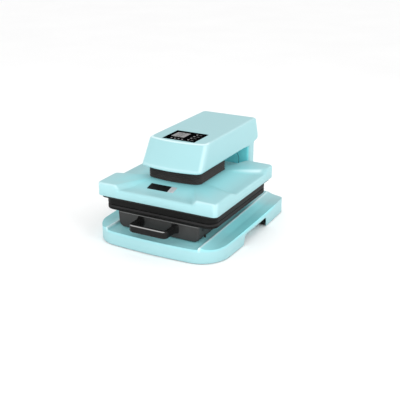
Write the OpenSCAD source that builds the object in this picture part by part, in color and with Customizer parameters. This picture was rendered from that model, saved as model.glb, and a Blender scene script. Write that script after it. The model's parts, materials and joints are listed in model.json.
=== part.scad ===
// Automatic heat press: a screw drives a heated platen down onto a pad that slides out in a drawer.
// Millimetres, Z up from the floor, front towards -Y. Shapes are drawn with Y measured from the middle
// of the platens, and place() then centres the whole press over the origin.

/* [Platens] */
// Side of the square platens
platen_size = 380; // [340:5:420]
// Corner radius of the platens
platen_corner = 30; // [10:1:45]
// Thickness of the lower platen
lower_platen_t = 7; // [5:0.5:12]
// Thickness of the pressing pad
pad_t = 8; // [5:0.5:12]
// Gap between the pad and the heated platen
press_gap = 1; // [0.5:0.1:2]
// Height of the heated platen
heat_platen_h = 26; // [24:0.5:32]
// Solid floor of the heated platen
heat_floor_t = 14; // [10:0.5:15]
// Width of the rim around the heater pocket
heat_rim_w = 22; // [20:1:30]
// Diameter of the heater tube
heater_d = 8; // [6:0.5:9]
// Distance between two runs of the heater tube
heater_pitch = 80; // [60:2:90]
// Thickness of the tray plate above the heated platen
tray_t = 4; // [3:0.5:6]
// How far the tray stands out beyond the platen
tray_overhang = 8; // [4:1:10]
// How far the heated platen lifts
lift_travel = 30; // [15:1:32]

/* [Platen cover] */
// How far the cover stands out beyond the platen
cover_overhang = 15; // [14:1:25]
// Corner radius of the cover
cover_corner = 15; // [8:1:30]
// Height of the cover
cover_h = 44; // [40:1:56]
// Wall of the cover
cover_wall = 3; // [2:0.25:4]
// Height of the rim where a valley meets the edge
cover_edge_h = 10; // [9:0.5:16]
// Half width of a valley at the edge
valley_half = 132; // [110:1:145]
// Flat border of the top around the bellows
plateau_margin = 2.5; // [2:0.5:10]
// Length of the label plate
label_l = 90; // [60:1:110]
// Width of the label plate
label_w = 29; // [20:1:40]
// Thickness of the label plate
label_t = 1; // [0.5:0.1:2]
// Sideways place of the label plate
label_x = -15; // [-30:1:30]
// Distance of the label's middle from the front edge
label_back = 71; // [50:1:90]

/* [Base] */
// Width of the base at its corners
base_w = 428; // [420:1:470]
// How far the sides bow out
base_side_bow = 6; // [0:0.5:12]
// Front corners' distance from the platens' middle
base_front = 223; // [215:1:260]
// How far the front bows out
base_front_bow = 13; // [0:0.5:15]
// Rear edge's distance from the platens' middle
base_rear = 297; // [294:1:303]
// Radius of the front corners
base_corner_front = 78; // [40:1:80]
// Radius of the rear corners
base_corner_rear = 42; // [10:1:60]
// Wall of the base casing
base_wall = 3; // [2:0.25:4]
// Gap under the skirt of the base
base_gap = 2; // [1:0.25:3]
// Height of the base from skirt to deck
base_h = 44; // [40:1:56]
// Half width of the deck between the wings
recess_half = 153; // [148:1:158]
// How much wider the deck is at its front, each side
deck_flare = 13; // [0:1:16]
// Flat crest between deck and wing
ridge_crest = 3; // [2:0.5:6]
// Height of the crest above the deck
ridge_rise = 7; // [6:0.5:12]
// Height of the outer edge above the deck
edge_rise = 2; // [1:0.25:4]
// Radius of the dished wings
dish_r = 75; // [60:5:300]
// Flat rim around the dished wings
wing_rim = 5; // [3:0.5:8]
// Wall left behind the deck
recess_end = 6; // [4:0.5:10]
// Length of the side lifting notches
notch_l = 168; // [100:1:200]
// Height of the side lifting notches
notch_h = 31; // [18:1:33]
// Middle of the notches behind the platens' middle
notch_mid = 42; // [0:1:70]
// Depth of the hand pockets behind the notches
notch_depth = 60; // [40:1:95]
// Thickness of the steel pan
pan_t = 2; // [1.5:0.25:4]
// Gap between the pan and the skirt
pan_inset = 10; // [6:1:20]
// Height of the rubber feet
foot_h = 5; // [4:0.5:7]
// Radius of the rubber feet
foot_r = 16; // [10:1:20]

/* [Drawer] */
// Width of the drawer
drawer_w = 280; // [270:1:286]
// Height of the drawer
drawer_h = 51; // [51:1:70]
// Sheet thickness of the drawer
drawer_t = 2; // [1.5:0.25:3.5]
// Length of the drawer
drawer_l = 340; // [320:5:360]
// How far the front lies behind the platen's edge
drawer_setback = 3; // [0:0.5:10]
// Radius along the drawer's lower edges
drawer_corner = 20; // [8:1:20]
// Gap between the drawer and the deck
deck_gap = 2; // [1:0.25:6]
// Width of the handle
handle_w = 130; // [100:1:160]
// How far the handle stands out
handle_reach = 65; // [45:1:80]
// Depth of the handle's bar and legs
handle_bar = 14; // [10:0.5:20]
// Height of the handle's bar
handle_h = 22; // [12:0.5:24]
// Height of the handle above the drawer's lower edge
handle_rise = 20; // [14:1:24]
// Outer corner radius of the handle
handle_corner = 20; // [10:1:24]

/* [Slides] */
// Height of the slide rails
rail_h = 24; // [18:0.5:24]
// Sheet thickness of the slide rails
rail_t = 2.5; // [2:0.25:3]
// Width across one slide
rail_span = 33; // [30:0.5:38]
// Depth of a rail's flanges
rail_grip = 14; // [10:0.5:14.5]
// Play between two rails
rail_play = 0.25; // [0.1:0.05:0.3]
// Gap between the drawer front and the rails
rail_setback = 6; // [4:0.5:10]
// Width of the rail pedestals
pedestal_w = 12; // [10:0.5:16]

/* [Column] */
// Gap between the platen cover and the column
column_gap = 29; // [20:1:29]
// Depth of the column
column_d = 43; // [42:0.5:43]
// Width of the column
column_w = 202; // [196:1:203]
// Corner radius of the column
column_corner = 10; // [4:1:14]
// Wall of the column cover
column_wall = 3; // [2:0.25:3.5]
// Width of the steel tube
tube_w = 116; // [100:1:118]
// Depth of the steel tube
tube_d = 30; // [24:1:30]
// Wall of the steel tube
tube_wall = 3; // [2:0.25:4]
// Gap between the tube and the column cover
tube_gap = 3; // [2:0.25:3]
// Width of the arched panel
arch_w = 128; // [100:1:160]
// Height of the arched panel's top below the head
arch_drop = 26; // [15:1:40]
// Corner radius of the arched panel
arch_corner = 30; // [10:1:40]
// Thickness of the arched panel
arch_t = 1.5; // [1:0.25:2.5]

/* [Head] */
// Height of the head
head_h = 78; // [78:1:90]
// Width of the head along its lower edge
head_w = 208; // [203:1:214]
// How much each side leans in towards the top
head_draft = 4; // [0:0.5:6]
// Reach of the nose in front of the platens' middle
head_front = 128; // [115:1:140]
// How far the nose bows out
nose_bow = 16; // [5:1:20]
// How far the nose leans back over its height
nose_lean = 33; // [10:1:40]
// Corner radius of the nose
nose_corner = 15; // [10:1:30]
// Radius along the top edges
head_round = 12; // [4:1:16]
// Overhang of the head behind the column
head_rear_over = 31; // [20:1:40]
// How far the rear leans forward towards the top
rear_lean = 14; // [0:1:20]
// Height of the slope under the rear
rear_slope_h = 5; // [2:1:40]
// Height of the upright band above that slope
rear_flat_h = 16; // [8:1:20]
// Wall of the head cover
head_wall = 3; // [2.5:0.25:4]
// Thickness of the plate under the head
underside_t = 3; // [2.5:0.25:4]

/* [Bellows] */
// Width of the bellows
bellows_w = 175; // [168:1:178]
// Reach of the bellows in front of the platens' middle
bellows_front = 89; // [70:1:90]
// Reach of the bellows behind the platens' middle
bellows_back = 80; // [60:1:84]
// Corner radius of the bellows
bellows_corner = 22; // [20:1:40]
// Height of the bellows when the press is shut
bellows_h = 43; // [43:1:60]
// Number of pleats
pleats = 6; // [4:1:8]
// Depth of a pleat
pleat_depth = 3; // [1.5:0.25:4]
// Skin of the bellows
bellows_skin = 2; // [1.5:0.25:3]

/* [Drive] */
// Thickness of the press plate
plate_t = 10; // [8:0.5:12]
// Width of the press plate
plate_w = 150; // [146:1:160]
// Gap between the press plate and the plate under the head
plate_gap = 5; // [4:0.5:8]
// Front edge of the press plate before the platens' middle
plate_front = 75; // [50:1:80]
// Diameter of the guide rods
rod_d = 16; // [12:0.5:18]
// Distance between the guide rods
rod_spacing = 110; // [108:1:114]
// Wall of the guide bushes
bush_wall = 3; // [2:0.25:4]
// Radial play of turning and sliding fits
run_fit = 0.05; // [0.02:0.01:0.1]
// Diameter of the lead screw
screw_d = 18; // [16:0.5:22]
// Diameter of the screw's journal
journal_d = 15; // [13:0.5:15.5]
// Diameter of the gear's seat on the screw
seat_d = 12; // [9:0.5:12]
// Diameter of the lead nut
nut_d = 30; // [28:0.5:34]
// Diameter of the nut's flange
nut_flange_d = 48; // [44:1:54]
// Height of the screw's collar
collar_h = 4; // [3:0.5:6]
// Thickness of the thrust washer
washer_t = 2; // [1:0.25:3]
// Height of the screw bearing
bearing_h = 8; // [6:0.5:10]
// Module of the gear teeth
gear_module = 1.5; // [1.4:0.05:1.5]
// Teeth on the driven gear
gear_teeth = 40; // [36:4:40]
// Teeth on the motor pinion
pinion_teeth = 16; // [14:1:18]
// Face width of the gears
gear_t = 9; // [6:0.5:10]
// Diameter of the gear motor
motor_d = 48; // [40:1:48]
// Height of the gear motor
motor_h = 24; // [18:1:25]
// Diameter of the motor shaft
shaft_d = 8; // [6:0.5:10]
// Thickness of the ram plate
ram_t = 8; // [6:0.5:10]
// Height of the stand-offs
standoff_h = 9; // [8:0.5:12]

/* [Electrics] */
// Width of the display glass
glass_w = 112; // [90:1:120]
// Length of the display glass
glass_l = 96; // [80:1:100]
// Thickness of the display glass
glass_t = 2; // [1:0.25:2]
// Front edge of the display before the platens' middle
glass_front = 62; // [55:1:65]
// Height of the inlet and switch above the deck
socket_rise = 44; // [30:1:100]
// Sideways place of the inlet and the switch
socket_x = 79; // [77:0.5:80]
// Length of the inlet's pins
pin_l = 11.5; // [9:0.5:12]

/* [Fits] */
// Radial play around screws
screw_fit = 0.1; // [0.05:0.05:0.3]
// Play around pieces that are set into openings
seat_fit = 0.2; // [0.1:0.05:0.3]

/* [Hidden] */
$fn = 64;
arc_steps = 8;
edge_step = 40;
// how far a cut runs past the face it opens
through = 1;

shell_blue = [0.66, 0.87, 0.90];
coat_black = [0.08, 0.08, 0.08];
panel_black = [0.22, 0.22, 0.22];
steel_grey = [0.62, 0.64, 0.66];
brass = [0.78, 0.63, 0.32];
board_green = [0.1, 0.35, 0.2];

// heights, from the floor up
pan_z = foot_h;
pan_top = pan_z + pan_t;
deck_z = base_gap + base_h;
ceiling_z = deck_z - base_wall;
ridge_z = deck_z + ridge_rise;
edge_z = deck_z + edge_rise;
drawer_z = deck_z + deck_gap;
drawer_top = drawer_z + drawer_h;
pad_z = drawer_top + lower_platen_t;
heat_z = pad_z + pad_t + press_gap;
tray_z = heat_z + heat_platen_h;
cover_z = tray_z + tray_t;
cover_top = cover_z + cover_h;
head_z = cover_top + bellows_h;
head_top = head_z + head_h;
plate_z = head_z + underside_t + plate_gap;
plate_top = plate_z + plate_t;
ram_z = cover_z + standoff_h;
ram_top = ram_z + ram_t;

// places along Y, from the platens' middle
drawer_y = -platen_size / 2 + drawer_setback;
handle_y = drawer_y - handle_reach;
cover_half = platen_size / 2 + cover_overhang;
column_y = cover_half + column_gap;
column_rear = column_y + column_d;
head_rear = column_rear + head_rear_over;
tube_y = column_y + column_wall + tube_gap;
shift_y = -(handle_y + head_rear) / 2;

// slides
rail_z = drawer_z + drawer_corner + 1;
rail_mid = rail_z + rail_h / 2;
rail_out = drawer_w / 2 - drawer_t;
rail_in = rail_out - rail_span;
rail_y0 = drawer_y + drawer_t + rail_setback;
rail_y1 = drawer_y + drawer_l - 1;
rail_screw_y = [drawer_y + 26, drawer_y + drawer_l / 2, drawer_y + drawer_l - 40];
rail_screw_r = 2;

// fastener radii and heads
m4_r = 2;
m5_r = 2.5;
m6_r = 3;
head_tall = 3;
base_screw_l = 19;
cover_screw_l = 12;
head_screw_l = 13;
handle_screw_l = 20;

// base
wing_ridge = [recess_half + ridge_crest, ridge_z];
wing_edge = [base_w / 2, edge_z];
dish_chord = wing_edge - wing_ridge;
dish_rise = sqrt(dish_r * dish_r - dish_chord * dish_chord / 4);
dish_mid = (wing_ridge + wing_edge) / 2 + dish_rise * unit([-dish_chord.y, dish_chord.x]);
wing_ceiling = dish_mid.y - dish_r - base_wall;
deck_y = [-base_front - base_front_bow - through, base_rear - recess_end];
deck_turn = atan(deck_flare / (deck_y[1] - deck_y[0]));
notch_y = [notch_mid - notch_l / 2, notch_mid + notch_l / 2];
notch_top = base_gap + notch_h;
base_boss_r = 6;
base_boss_x = base_w / 2 - 40;
base_boss_y = [-base_front + 90, base_rear - 68];
foot_x = base_w / 2 - 56;
foot_y = [-base_front + 62, base_rear - 52];
flange_w = tube_w + 42;
flange_t = 5;
flange_out = 10;

// platen cover
plateau_half = bellows_w / 2 + plateau_margin;
valley_neck = plateau_half - plateau_margin;
slope = atan((cover_h - cover_edge_h) / (cover_half - plateau_half));
cover_boss_at = cover_half - 30;
cover_boss_r = 6;

// heated platen
pocket_half = platen_size / 2 - heat_rim_w;
pocket_z = heat_z + heat_floor_t;
heater_z = pocket_z + heater_d / 2 + run_fit;
heater_run = 120;
mat_z = heater_z + heater_d / 2 + run_fit;
probe_r = 3;
probe_y = 60;
rim_mid = platen_size / 2 - heat_rim_w / 2;
tray_screw_at = 100;

platen_screw_at = [60, 120];

// drive
ram_half_x = rod_spacing / 2 + rod_d / 2 + 17;
ram_half_y = 60;
standoff_r = 8;
standoff_at = [70, 45];
nut_flange_t = 6;
collar_z = plate_z - washer_t - collar_h;
nut_top = collar_z - lift_travel - 1;
screw_end = cover_z + lift_travel + 2;
collar_r = screw_d / 2 + 5;
bearing_top = plate_top + bearing_h;
gear_z = bearing_top + 1;
gear_top = gear_z + gear_t;
gear_spacing = gear_module * (gear_teeth + pinion_teeth) / 2;
tooth_play = 0.4;
tooth_tip = 0.8;
tooth_root = 1.25;
pressure_angle = 20;
bracket_z = gear_top + 2;
bracket_t = 4;
motor_z = bracket_z + bracket_t;
bush_r = rod_d / 2 + bush_wall;
bush_flange_t = 3;
bush_flange_r = bush_r + 2;
rod_top = plate_top + bush_flange_t + 15;

// head and electrics
lean = atan(nose_lean / head_h);
head_boss_x = head_w / 2 - head_draft - 10;
head_boss_y = [-40, column_y - 34];
head_boss_r = 5;
socket_z = deck_z + socket_rise;
limit_edge = 2;
limit_size = [6, 20, 12];
supply_y = [tube_y - 115, tube_y - 15];
supply_h = 35;
supply_wall = 2;
board_half = 42;
board_t = 1.6;
board_rise = 8;
panel_x = [-40, 20];
panel_edge = 24;
panel_t = 4;
vent_panel_w = 104;
vent_panel_t = 2;
vent_low = 20;
vent_high = 32;
vent_rim = 12;
vent_slot_in = 18;
vent_panel_z = [socket_z - vent_low, head_z - vent_high];

// Outlines

function unit(v) = v / norm(v);

// points of the arc that rounds corner b, which holds x, y and its radius
function corner_arc(a, b, c) =
    let (p = [b.x, b.y],
        u = unit([a.x, a.y] - p),
        v = unit([c.x, c.y] - p),
        half = acos(u * v) / 2,
        mid = p + unit(u + v) * b.z / sin(half),
        from = p + u * b.z / tan(half) - mid,
        start = atan2(from.y, from.x),
        sweep = (cross(-u, v) > 0 ? 1 : -1) * (180 - 2 * half))
    b.z <= 0 ? [p] : [for (i = [0:arc_steps])
        let (a = start + sweep * i / arc_steps) mid + b.z * [cos(a), sin(a)]];

function rounded(pts) =
    let (n = len(pts))
    [for (i = [0:n - 1]) each corner_arc(pts[(i + n - 1) % n], pts[i], pts[(i + 1) % n])];

function box_pts(x0, x1, y0, y1, r) = rounded([[x0, y0, r], [x1, y0, r], [x1, y1, r], [x0, y1, r]]);

function square_pts(half, r) = box_pts(-half, half, -half, half, r);

// adds points along the long straight runs of an outline
function stepped(pts) =
    [for (i = [0:len(pts) - 1])
        let (p = pts[i], q = pts[(i + 1) % len(pts)], n = max(1, ceil(norm(q - p) / edge_step)))
        for (k = [0:n - 1]) p + (q - p) * k / n];

// rounded rectangle whose front and sides bow outwards
function bowed_pts(half, y0, y1, front_r, rear_r, front_bow, side_bow) =
    let (mid = (y0 + y1) / 2,
        reach = (y1 - y0) / 2,
        plain = rounded([[-half, y0, front_r], [half, y0, front_r], [half, y1, rear_r], [-half, y1, rear_r]]))
    [for (p = stepped(plain))
        let (u = p.x / half, v = (p.y - mid) / reach)
        [p.x + side_bow * u * (1 - v * v), p.y + min(v, 0) * front_bow * (1 - u * u)]];

function base_pts(inset) = bowed_pts(base_w / 2 - inset, inset - base_front, base_rear - inset,
    base_corner_front - inset, base_corner_rear - inset, base_front_bow, base_side_bow);

function bellows_pts(inset) = box_pts(inset - bellows_w / 2, bellows_w / 2 - inset,
    inset - bellows_front, bellows_back - inset, bellows_corner - inset);

function gear_pts(teeth, phase) =
    let (r = gear_module * teeth / 2,
        tip = r + tooth_tip * gear_module,
        root = r - tooth_root * gear_module,
        flank = tan(pressure_angle),
        half = PI * gear_module / 4 - tooth_play / 2,
        tip_a = (half - tooth_tip * gear_module * flank) / tip * 180 / PI,
        root_a = (half + tooth_root * gear_module * flank) / root * 180 / PI)
    [for (i = [0:teeth - 1], e = [[root, -root_a], [tip, -tip_a], [tip, tip_a], [root, root_a]])
        let (a = phase + i * 360 / teeth + e[1]) e[0] * [cos(a), sin(a)]];

// Shapes that repeat

module place() {
    translate([0, shift_y, 0]) children();
}

module both_sides() {
    children();
    mirror([1, 0, 0]) children();
}

module slab(pts, z0, z1) {
    translate([0, 0, z0]) linear_extrude(z1 - z0) polygon(pts);
}

module block(x, y, z) {
    translate([x[0], y[0], z[0]]) cube([x[1] - x[0], y[1] - y[0], z[1] - z[0]]);
}

module post(x, y, r, z0, z1) {
    translate([x, y, z0]) cylinder(r = r, h = z1 - z0);
}

// round bar along X or along Y
module bar_x(x0, x1, y, z, r) {
    translate([x0, y, z]) rotate([0, 90, 0]) cylinder(r = r, h = x1 - x0);
}

module bar_y(x, y0, y1, z, r) {
    translate([x, y0, z]) rotate([-90, 0, 0]) cylinder(r = r, h = y1 - y0);
}

// outline in X and Z, drawn out along Y
module wall_xz(pts, y0, y1) {
    translate([0, y1, 0]) rotate([90, 0, 0]) linear_extrude(y1 - y0) polygon(pts);
}

// outline in Y and Z, drawn out along X
module wall_yz(pts, x0, x1) {
    translate([x0, 0, 0]) rotate([90, 0, 90]) linear_extrude(x1 - x0) polygon(pts);
}

// children at both sides of X and both ends of a span along Y
module at_four(x, y0, y1) {
    for (sx = [-x, x], sy = [y0, y1]) translate([sx, sy, 0]) children();
}

// upright screw whose head sits above z1, or below z0 when turned over
module screw_down(r, z0, z1) {
    post(0, 0, r, z0, z1);
    post(0, 0, 2 * r, z1, z1 + head_tall);
}

module screw_up(r, z0, z1) {
    post(0, 0, r, z0, z1);
    post(0, 0, 2 * r, z0 - head_tall, z0);
}

// Base

// round hollow of a wing, turned to follow the edge of the deck
module dish() {
    reach = base_front + base_rear;
    translate([wing_ridge.x, (deck_y[0] + deck_y[1]) / 2, 0]) rotate(deck_turn)
        bar_y(dish_mid.x - wing_ridge.x, -reach, reach, dish_mid.y, dish_r);
}

module wing_cut() {
    y = [deck_y[0], base_rear + through];
    block([dish_mid.x, base_w], y, [edge_z, ridge_z + through]);
    intersection() {
        dish();
        union() {
            block([0, dish_mid.x + through], y, [edge_z, ridge_z + through]);
            slab(base_pts(wing_rim), wing_ceiling, ridge_z + through);
        }
    }
}

module base_shell() {
    deck_wide = recess_half + deck_flare / 2;
    deck_narrow = recess_half - deck_flare / 2;
    color(shell_blue) place() difference() {
        union() {
            difference() {
                slab(base_pts(0), base_gap, ridge_z);
                both_sides() wing_cut();
                slab([[-deck_wide, deck_y[0]], [deck_wide, deck_y[0]], [deck_narrow, deck_y[1]],
                    [-deck_narrow, deck_y[1]]], deck_z, ridge_z + through);
                slab(base_pts(base_wall), base_gap - through, wing_ceiling);
                block([base_wall - deck_narrow, deck_narrow - base_wall],
                    [base_wall - base_front, base_rear - base_wall], [wing_ceiling - through, ceiling_z]);
            }
            for (y = base_boss_y) at_four(base_boss_x, y, y) post(0, 0, base_boss_r, pan_top, wing_ceiling + 1);
        }
        both_sides() block([base_w / 2 - 2 * base_wall - base_side_bow, base_w / 2 + base_side_bow + through],
            notch_y, [base_gap - through, notch_top]);
        for (y = base_boss_y) at_four(base_boss_x, y, y)
            post(0, 0, m4_r + screw_fit, pan_top - through, pan_top + base_screw_l + through);
        block([-tube_w / 2 - seat_fit, tube_w / 2 + seat_fit], [tube_y - seat_fit, tube_y + tube_d + seat_fit],
            [ceiling_z - through, deck_z + through]);
    }
}

module base_pan() {
    pocket_x = base_w / 2 - notch_depth;
    color(coat_black) place() difference() {
        union() {
            difference() {
                slab(base_pts(pan_inset), pan_z, pan_top);
                both_sides() block([pocket_x, base_w], notch_y, [pan_z - through, pan_top + through]);
            }
            both_sides() for (y = [notch_y[0] - pan_t, notch_y[1]])
                block([pocket_x, base_w / 2 - base_wall - 1], [y, y + pan_t], [pan_z, notch_top]);
        }
        for (y = base_boss_y) at_four(base_boss_x, y, y)
            post(0, 0, m4_r + screw_fit, pan_z - through, pan_top + through);
        column_bolt_places() post(0, 0, m6_r + screw_fit, pan_z - through, pan_top + through);
    }
}

module rubber_feet() {
    color(coat_black) place() at_four(foot_x, foot_y[0], foot_y[1]) post(0, 0, foot_r, 0, foot_h);
}

module base_screws() {
    color(steel_grey) place() for (y = base_boss_y) at_four(base_boss_x, y, y)
        screw_up(m4_r, pan_z, pan_top + base_screw_l);
}

// Drawer slides

module rail_channel(x0, x1, web) {
    block([x0, x1], [rail_y0, rail_y1], [rail_z, rail_z + rail_t]);
    block([x0, x1], [rail_y0, rail_y1], [rail_z + rail_h - rail_t, rail_z + rail_h]);
    block([web, web + rail_t], [rail_y0, rail_y1], [rail_z, rail_z + rail_h]);
}

module rail_pedestals() {
    color(steel_grey) place() both_sides() difference() {
        block([rail_in - pedestal_w, rail_in], [rail_y0, rail_y1], [deck_z, rail_z + rail_h]);
        block([rail_in - pedestal_w + rail_t, rail_in - rail_t], [rail_y0 - through, rail_y1 + through],
            [deck_z - through, rail_z + rail_h - rail_t]);
    }
}

module fixed_rails() {
    color(steel_grey) place() both_sides() rail_channel(rail_in, rail_in + rail_grip, rail_in);
}

module middle_rails() {
    side = rail_t + rail_play;
    web = (rail_in + rail_out) / 2;
    low = rail_z + side;
    high = rail_z + rail_h - side;
    color(steel_grey) place() both_sides() {
        for (z = [low, high - rail_t])
            block([rail_in + side, rail_out - side], [rail_y0, rail_y1], [z, z + rail_t]);
        block([web - rail_t / 2, web + rail_t / 2], [rail_y0, rail_y1], [low, high]);
    }
}

module drawer_rails() {
    color(steel_grey) place() both_sides() difference() {
        rail_channel(rail_out - rail_grip, rail_out, rail_out - rail_t);
        for (y = rail_screw_y)
            bar_x(rail_out - rail_t - through, rail_out + through, y, rail_mid, rail_screw_r + screw_fit);
    }
}

module rail_screws() {
    color(steel_grey) place() both_sides() for (y = rail_screw_y) {
        bar_x(rail_out - rail_t, drawer_w / 2, y, rail_mid, rail_screw_r);
        bar_x(drawer_w / 2, drawer_w / 2 + 2, y, rail_mid, 2 * rail_screw_r);
    }
}

// Drawer

module drawer_tub(inset, y0, y1) {
    half = drawer_w / 2 - inset;
    r = drawer_corner - inset;
    wall_xz(rounded([[-half, drawer_z + inset, r], [half, drawer_z + inset, r],
        [half, drawer_top - inset, 0], [-half, drawer_top - inset, 0]]), y0, y1);
}

module handle_screw_places() {
    for (x = [-1, 1]) translate([x * (handle_w - handle_bar) / 2, 0, 0]) children();
}

module drawer_box() {
    open_half = drawer_w / 2 - drawer_corner;
    color(panel_black) place() difference() {
        drawer_tub(0, drawer_y, drawer_y + drawer_l);
        drawer_tub(drawer_t, drawer_y + drawer_t, drawer_y + drawer_l + through);
        block([-open_half, open_half], [drawer_y + drawer_t, drawer_y + drawer_l + through],
            [drawer_z - through, drawer_z + drawer_t + through]);
        both_sides() for (y = rail_screw_y)
            bar_x(rail_out - through, drawer_w / 2 + through, y, rail_mid, rail_screw_r + screw_fit);
        handle_screw_places() bar_y(0, drawer_y - through, drawer_y + drawer_t + through,
            drawer_z + handle_rise + handle_h / 2, m5_r + screw_fit);
        platen_screw_places() post(0, 0, m5_r + screw_fit, drawer_top - drawer_t - through, drawer_top + through);
    }
}

module drawer_handle() {
    z = [drawer_z + handle_rise, drawer_z + handle_rise + handle_h];
    inner = handle_w / 2 - handle_bar;
    color(coat_black) place() difference() {
        slab(box_pts(-handle_w / 2, handle_w / 2, handle_y, drawer_y + handle_corner, handle_corner), z[0], z[1]);
        slab(box_pts(-inner, inner, handle_y + handle_bar, drawer_y + handle_corner,
            max(1, handle_corner - handle_bar)), z[0] - through, z[1] + through);
        block([-handle_w, handle_w], [drawer_y, drawer_y + 2 * handle_corner], [z[0] - through, z[1] + through]);
        handle_screw_places() bar_y(0, drawer_y - handle_screw_l - through, drawer_y + through,
            (z[0] + z[1]) / 2, m5_r + screw_fit);
    }
}

module handle_screws() {
    z = drawer_z + handle_rise + handle_h / 2;
    color(steel_grey) place() handle_screw_places() {
        bar_y(0, drawer_y - handle_screw_l, drawer_y + drawer_t, z, m5_r);
        bar_y(0, drawer_y + drawer_t, drawer_y + drawer_t + head_tall, z, 2 * m5_r);
    }
}

module platen_screw_places() {
    at_four(platen_screw_at.x, -platen_screw_at.y, platen_screw_at.y) children();
}

module lower_platen() {
    color(coat_black) place() difference() {
        slab(square_pts(platen_size / 2, platen_corner), drawer_top, pad_z);
        platen_screw_places() post(0, 0, m5_r + screw_fit, drawer_top - through, pad_z - 1.5);
    }
}

module platen_screws() {
    color(steel_grey) place() platen_screw_places() screw_up(m5_r, drawer_top - drawer_t, pad_z - 2);
}

module silicone_pad() {
    color(coat_black) place() slab(square_pts(platen_size / 2, platen_corner), pad_z, pad_z + pad_t);
}

// Heated platen

module tray_screw_places() {
    for (a = [0:90:270]) rotate(a) for (x = [-tray_screw_at, tray_screw_at]) translate([x, rim_mid, 0]) children();
}

module cover_screw_places() {
    at_four(cover_boss_at, -cover_boss_at, cover_boss_at) children();
}

module ram_bolt_places() {
    at_four(standoff_at.x, -standoff_at.y, standoff_at.y) children();
}

module heat_platen() {
    color(coat_black) place() difference() {
        slab(square_pts(platen_size / 2, platen_corner), heat_z, tray_z);
        slab(square_pts(pocket_half, platen_corner / 2), pocket_z, tray_z + through);
        tray_screw_places() post(0, 0, m4_r + screw_fit, tray_z - 9, tray_z + through);
        cover_screw_places() post(0, 0, 2 * m4_r + 0.5, tray_z - head_tall - 1, tray_z + through);
    }
}

module heater_element() {
    r = heater_pitch / 2;
    color(steel_grey) place() translate([0, 0, heater_z]) {
        for (i = [-1.5:1:1.5]) bar_y(i * heater_pitch, -heater_run, heater_run, 0, heater_d / 2);
        for (x = [-heater_pitch, heater_pitch]) translate([x, -heater_run, 0]) rotate(180)
            rotate_extrude(angle = 180) translate([r, 0]) circle(heater_d / 2);
        translate([0, heater_run, 0]) rotate_extrude(angle = 180) translate([r, 0]) circle(heater_d / 2);
    }
}

module temperature_probe() {
    color(steel_grey) place() post(0, probe_y, probe_r, pocket_z, tray_z - 1);
}

module insulation_mat() {
    color([0.85, 0.83, 0.78]) place() difference() {
        slab(square_pts(pocket_half - 2, platen_corner / 2), mat_z, tray_z);
        post(0, probe_y, probe_r + 1, mat_z - through, tray_z + through);
    }
}

module platen_tray() {
    color(coat_black) place() difference() {
        slab(square_pts(platen_size / 2 + tray_overhang, platen_corner + tray_overhang - 10), tray_z, cover_z);
        tray_screw_places() post(0, 0, m4_r + screw_fit, tray_z - through, cover_z + through);
        cover_screw_places() post(0, 0, m4_r + screw_fit, tray_z - through, cover_z + through);
        ram_bolt_places() post(0, 0, m6_r + screw_fit, tray_z - through, cover_z + through);
    }
}

module tray_screws() {
    color(steel_grey) place() tray_screw_places() screw_down(m4_r, tray_z - 8, cover_z);
}

module standoffs() {
    color(steel_grey) place() ram_bolt_places() difference() {
        post(0, 0, standoff_r, cover_z, ram_z);
        post(0, 0, m6_r + screw_fit, cover_z - through, ram_z + through);
    }
}

module ram_plate() {
    color(steel_grey) place() difference() {
        block([-ram_half_x, ram_half_x], [-ram_half_y, ram_half_y], [ram_z, ram_top]);
        post(0, 0, screw_d / 2 + 2, ram_z - through, ram_top + through);
        ram_bolt_places() post(0, 0, m6_r + screw_fit, ram_z - through, ram_top + through);
    }
}

module ram_bolts() {
    color(steel_grey) place() ram_bolt_places() screw_down(m6_r, tray_z, ram_top);
}

module rod_places() {
    for (x = [-1, 1]) translate([x * rod_spacing / 2, 0, 0]) children();
}

module guide_rods() {
    color(steel_grey) place() rod_places() post(0, 0, rod_d / 2, ram_top, rod_top);
}

module lead_nut() {
    color(brass) place() difference() {
        union() {
            post(0, 0, nut_flange_d / 2, ram_top, ram_top + nut_flange_t);
            post(0, 0, nut_d / 2, ram_top, nut_top);
        }
        post(0, 0, screw_d / 2 + run_fit, ram_top - through, nut_top + through);
    }
}

// block with four sloped valleys, shrunk by inset and let down by drop
module cover_form(inset, drop) {
    half = cover_half - inset;
    difference() {
        slab(square_pts(half, max(1, cover_corner - inset)), cover_z - drop, cover_top - drop);
        for (a = [0:90:270]) rotate(a) intersection() {
            slab([[-valley_half - inset, -cover_half - through], [valley_half + inset, -cover_half - through],
                [valley_neck + inset, -plateau_half], [-valley_neck - inset, -plateau_half]],
                cover_z - drop - through, cover_top + through);
            translate([-cover_half, -plateau_half, cover_top - drop]) rotate([slope, 0, 0])
                translate([0, -cover_half, 0]) cube([2 * cover_half, cover_half, 2 * cover_h]);
        }
    }
}

module platen_cover() {
    color(shell_blue) place() difference() {
        union() {
            difference() {
                cover_form(0, 0);
                cover_form(cover_wall, cover_wall);
            }
            cover_screw_places() post(0, 0, cover_boss_r, cover_z, cover_top - cover_wall / 2);
        }
        rod_places() post(0, 0, rod_d / 2 + 4, cover_top - 2 * cover_wall, cover_top + through);
        post(0, 0, nut_d / 2 + 3, cover_top - 2 * cover_wall, cover_top + through);
        cover_screw_places() post(0, 0, m4_r + screw_fit, cover_z - through, cover_z + cover_screw_l + through);
    }
}

module cover_screws() {
    color(steel_grey) place() cover_screw_places() screw_up(m4_r, tray_z, cover_z + cover_screw_l);
}

module label_plate() {
    down = cover_half - label_back - plateau_half;
    color(coat_black) place() translate([label_x, -plateau_half, cover_top]) rotate([slope, 0, 0])
        translate([-label_l / 2, -down / cos(slope) - label_w / 2, 0]) cube([label_l, label_w, label_t]);
}

// Column

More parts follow.
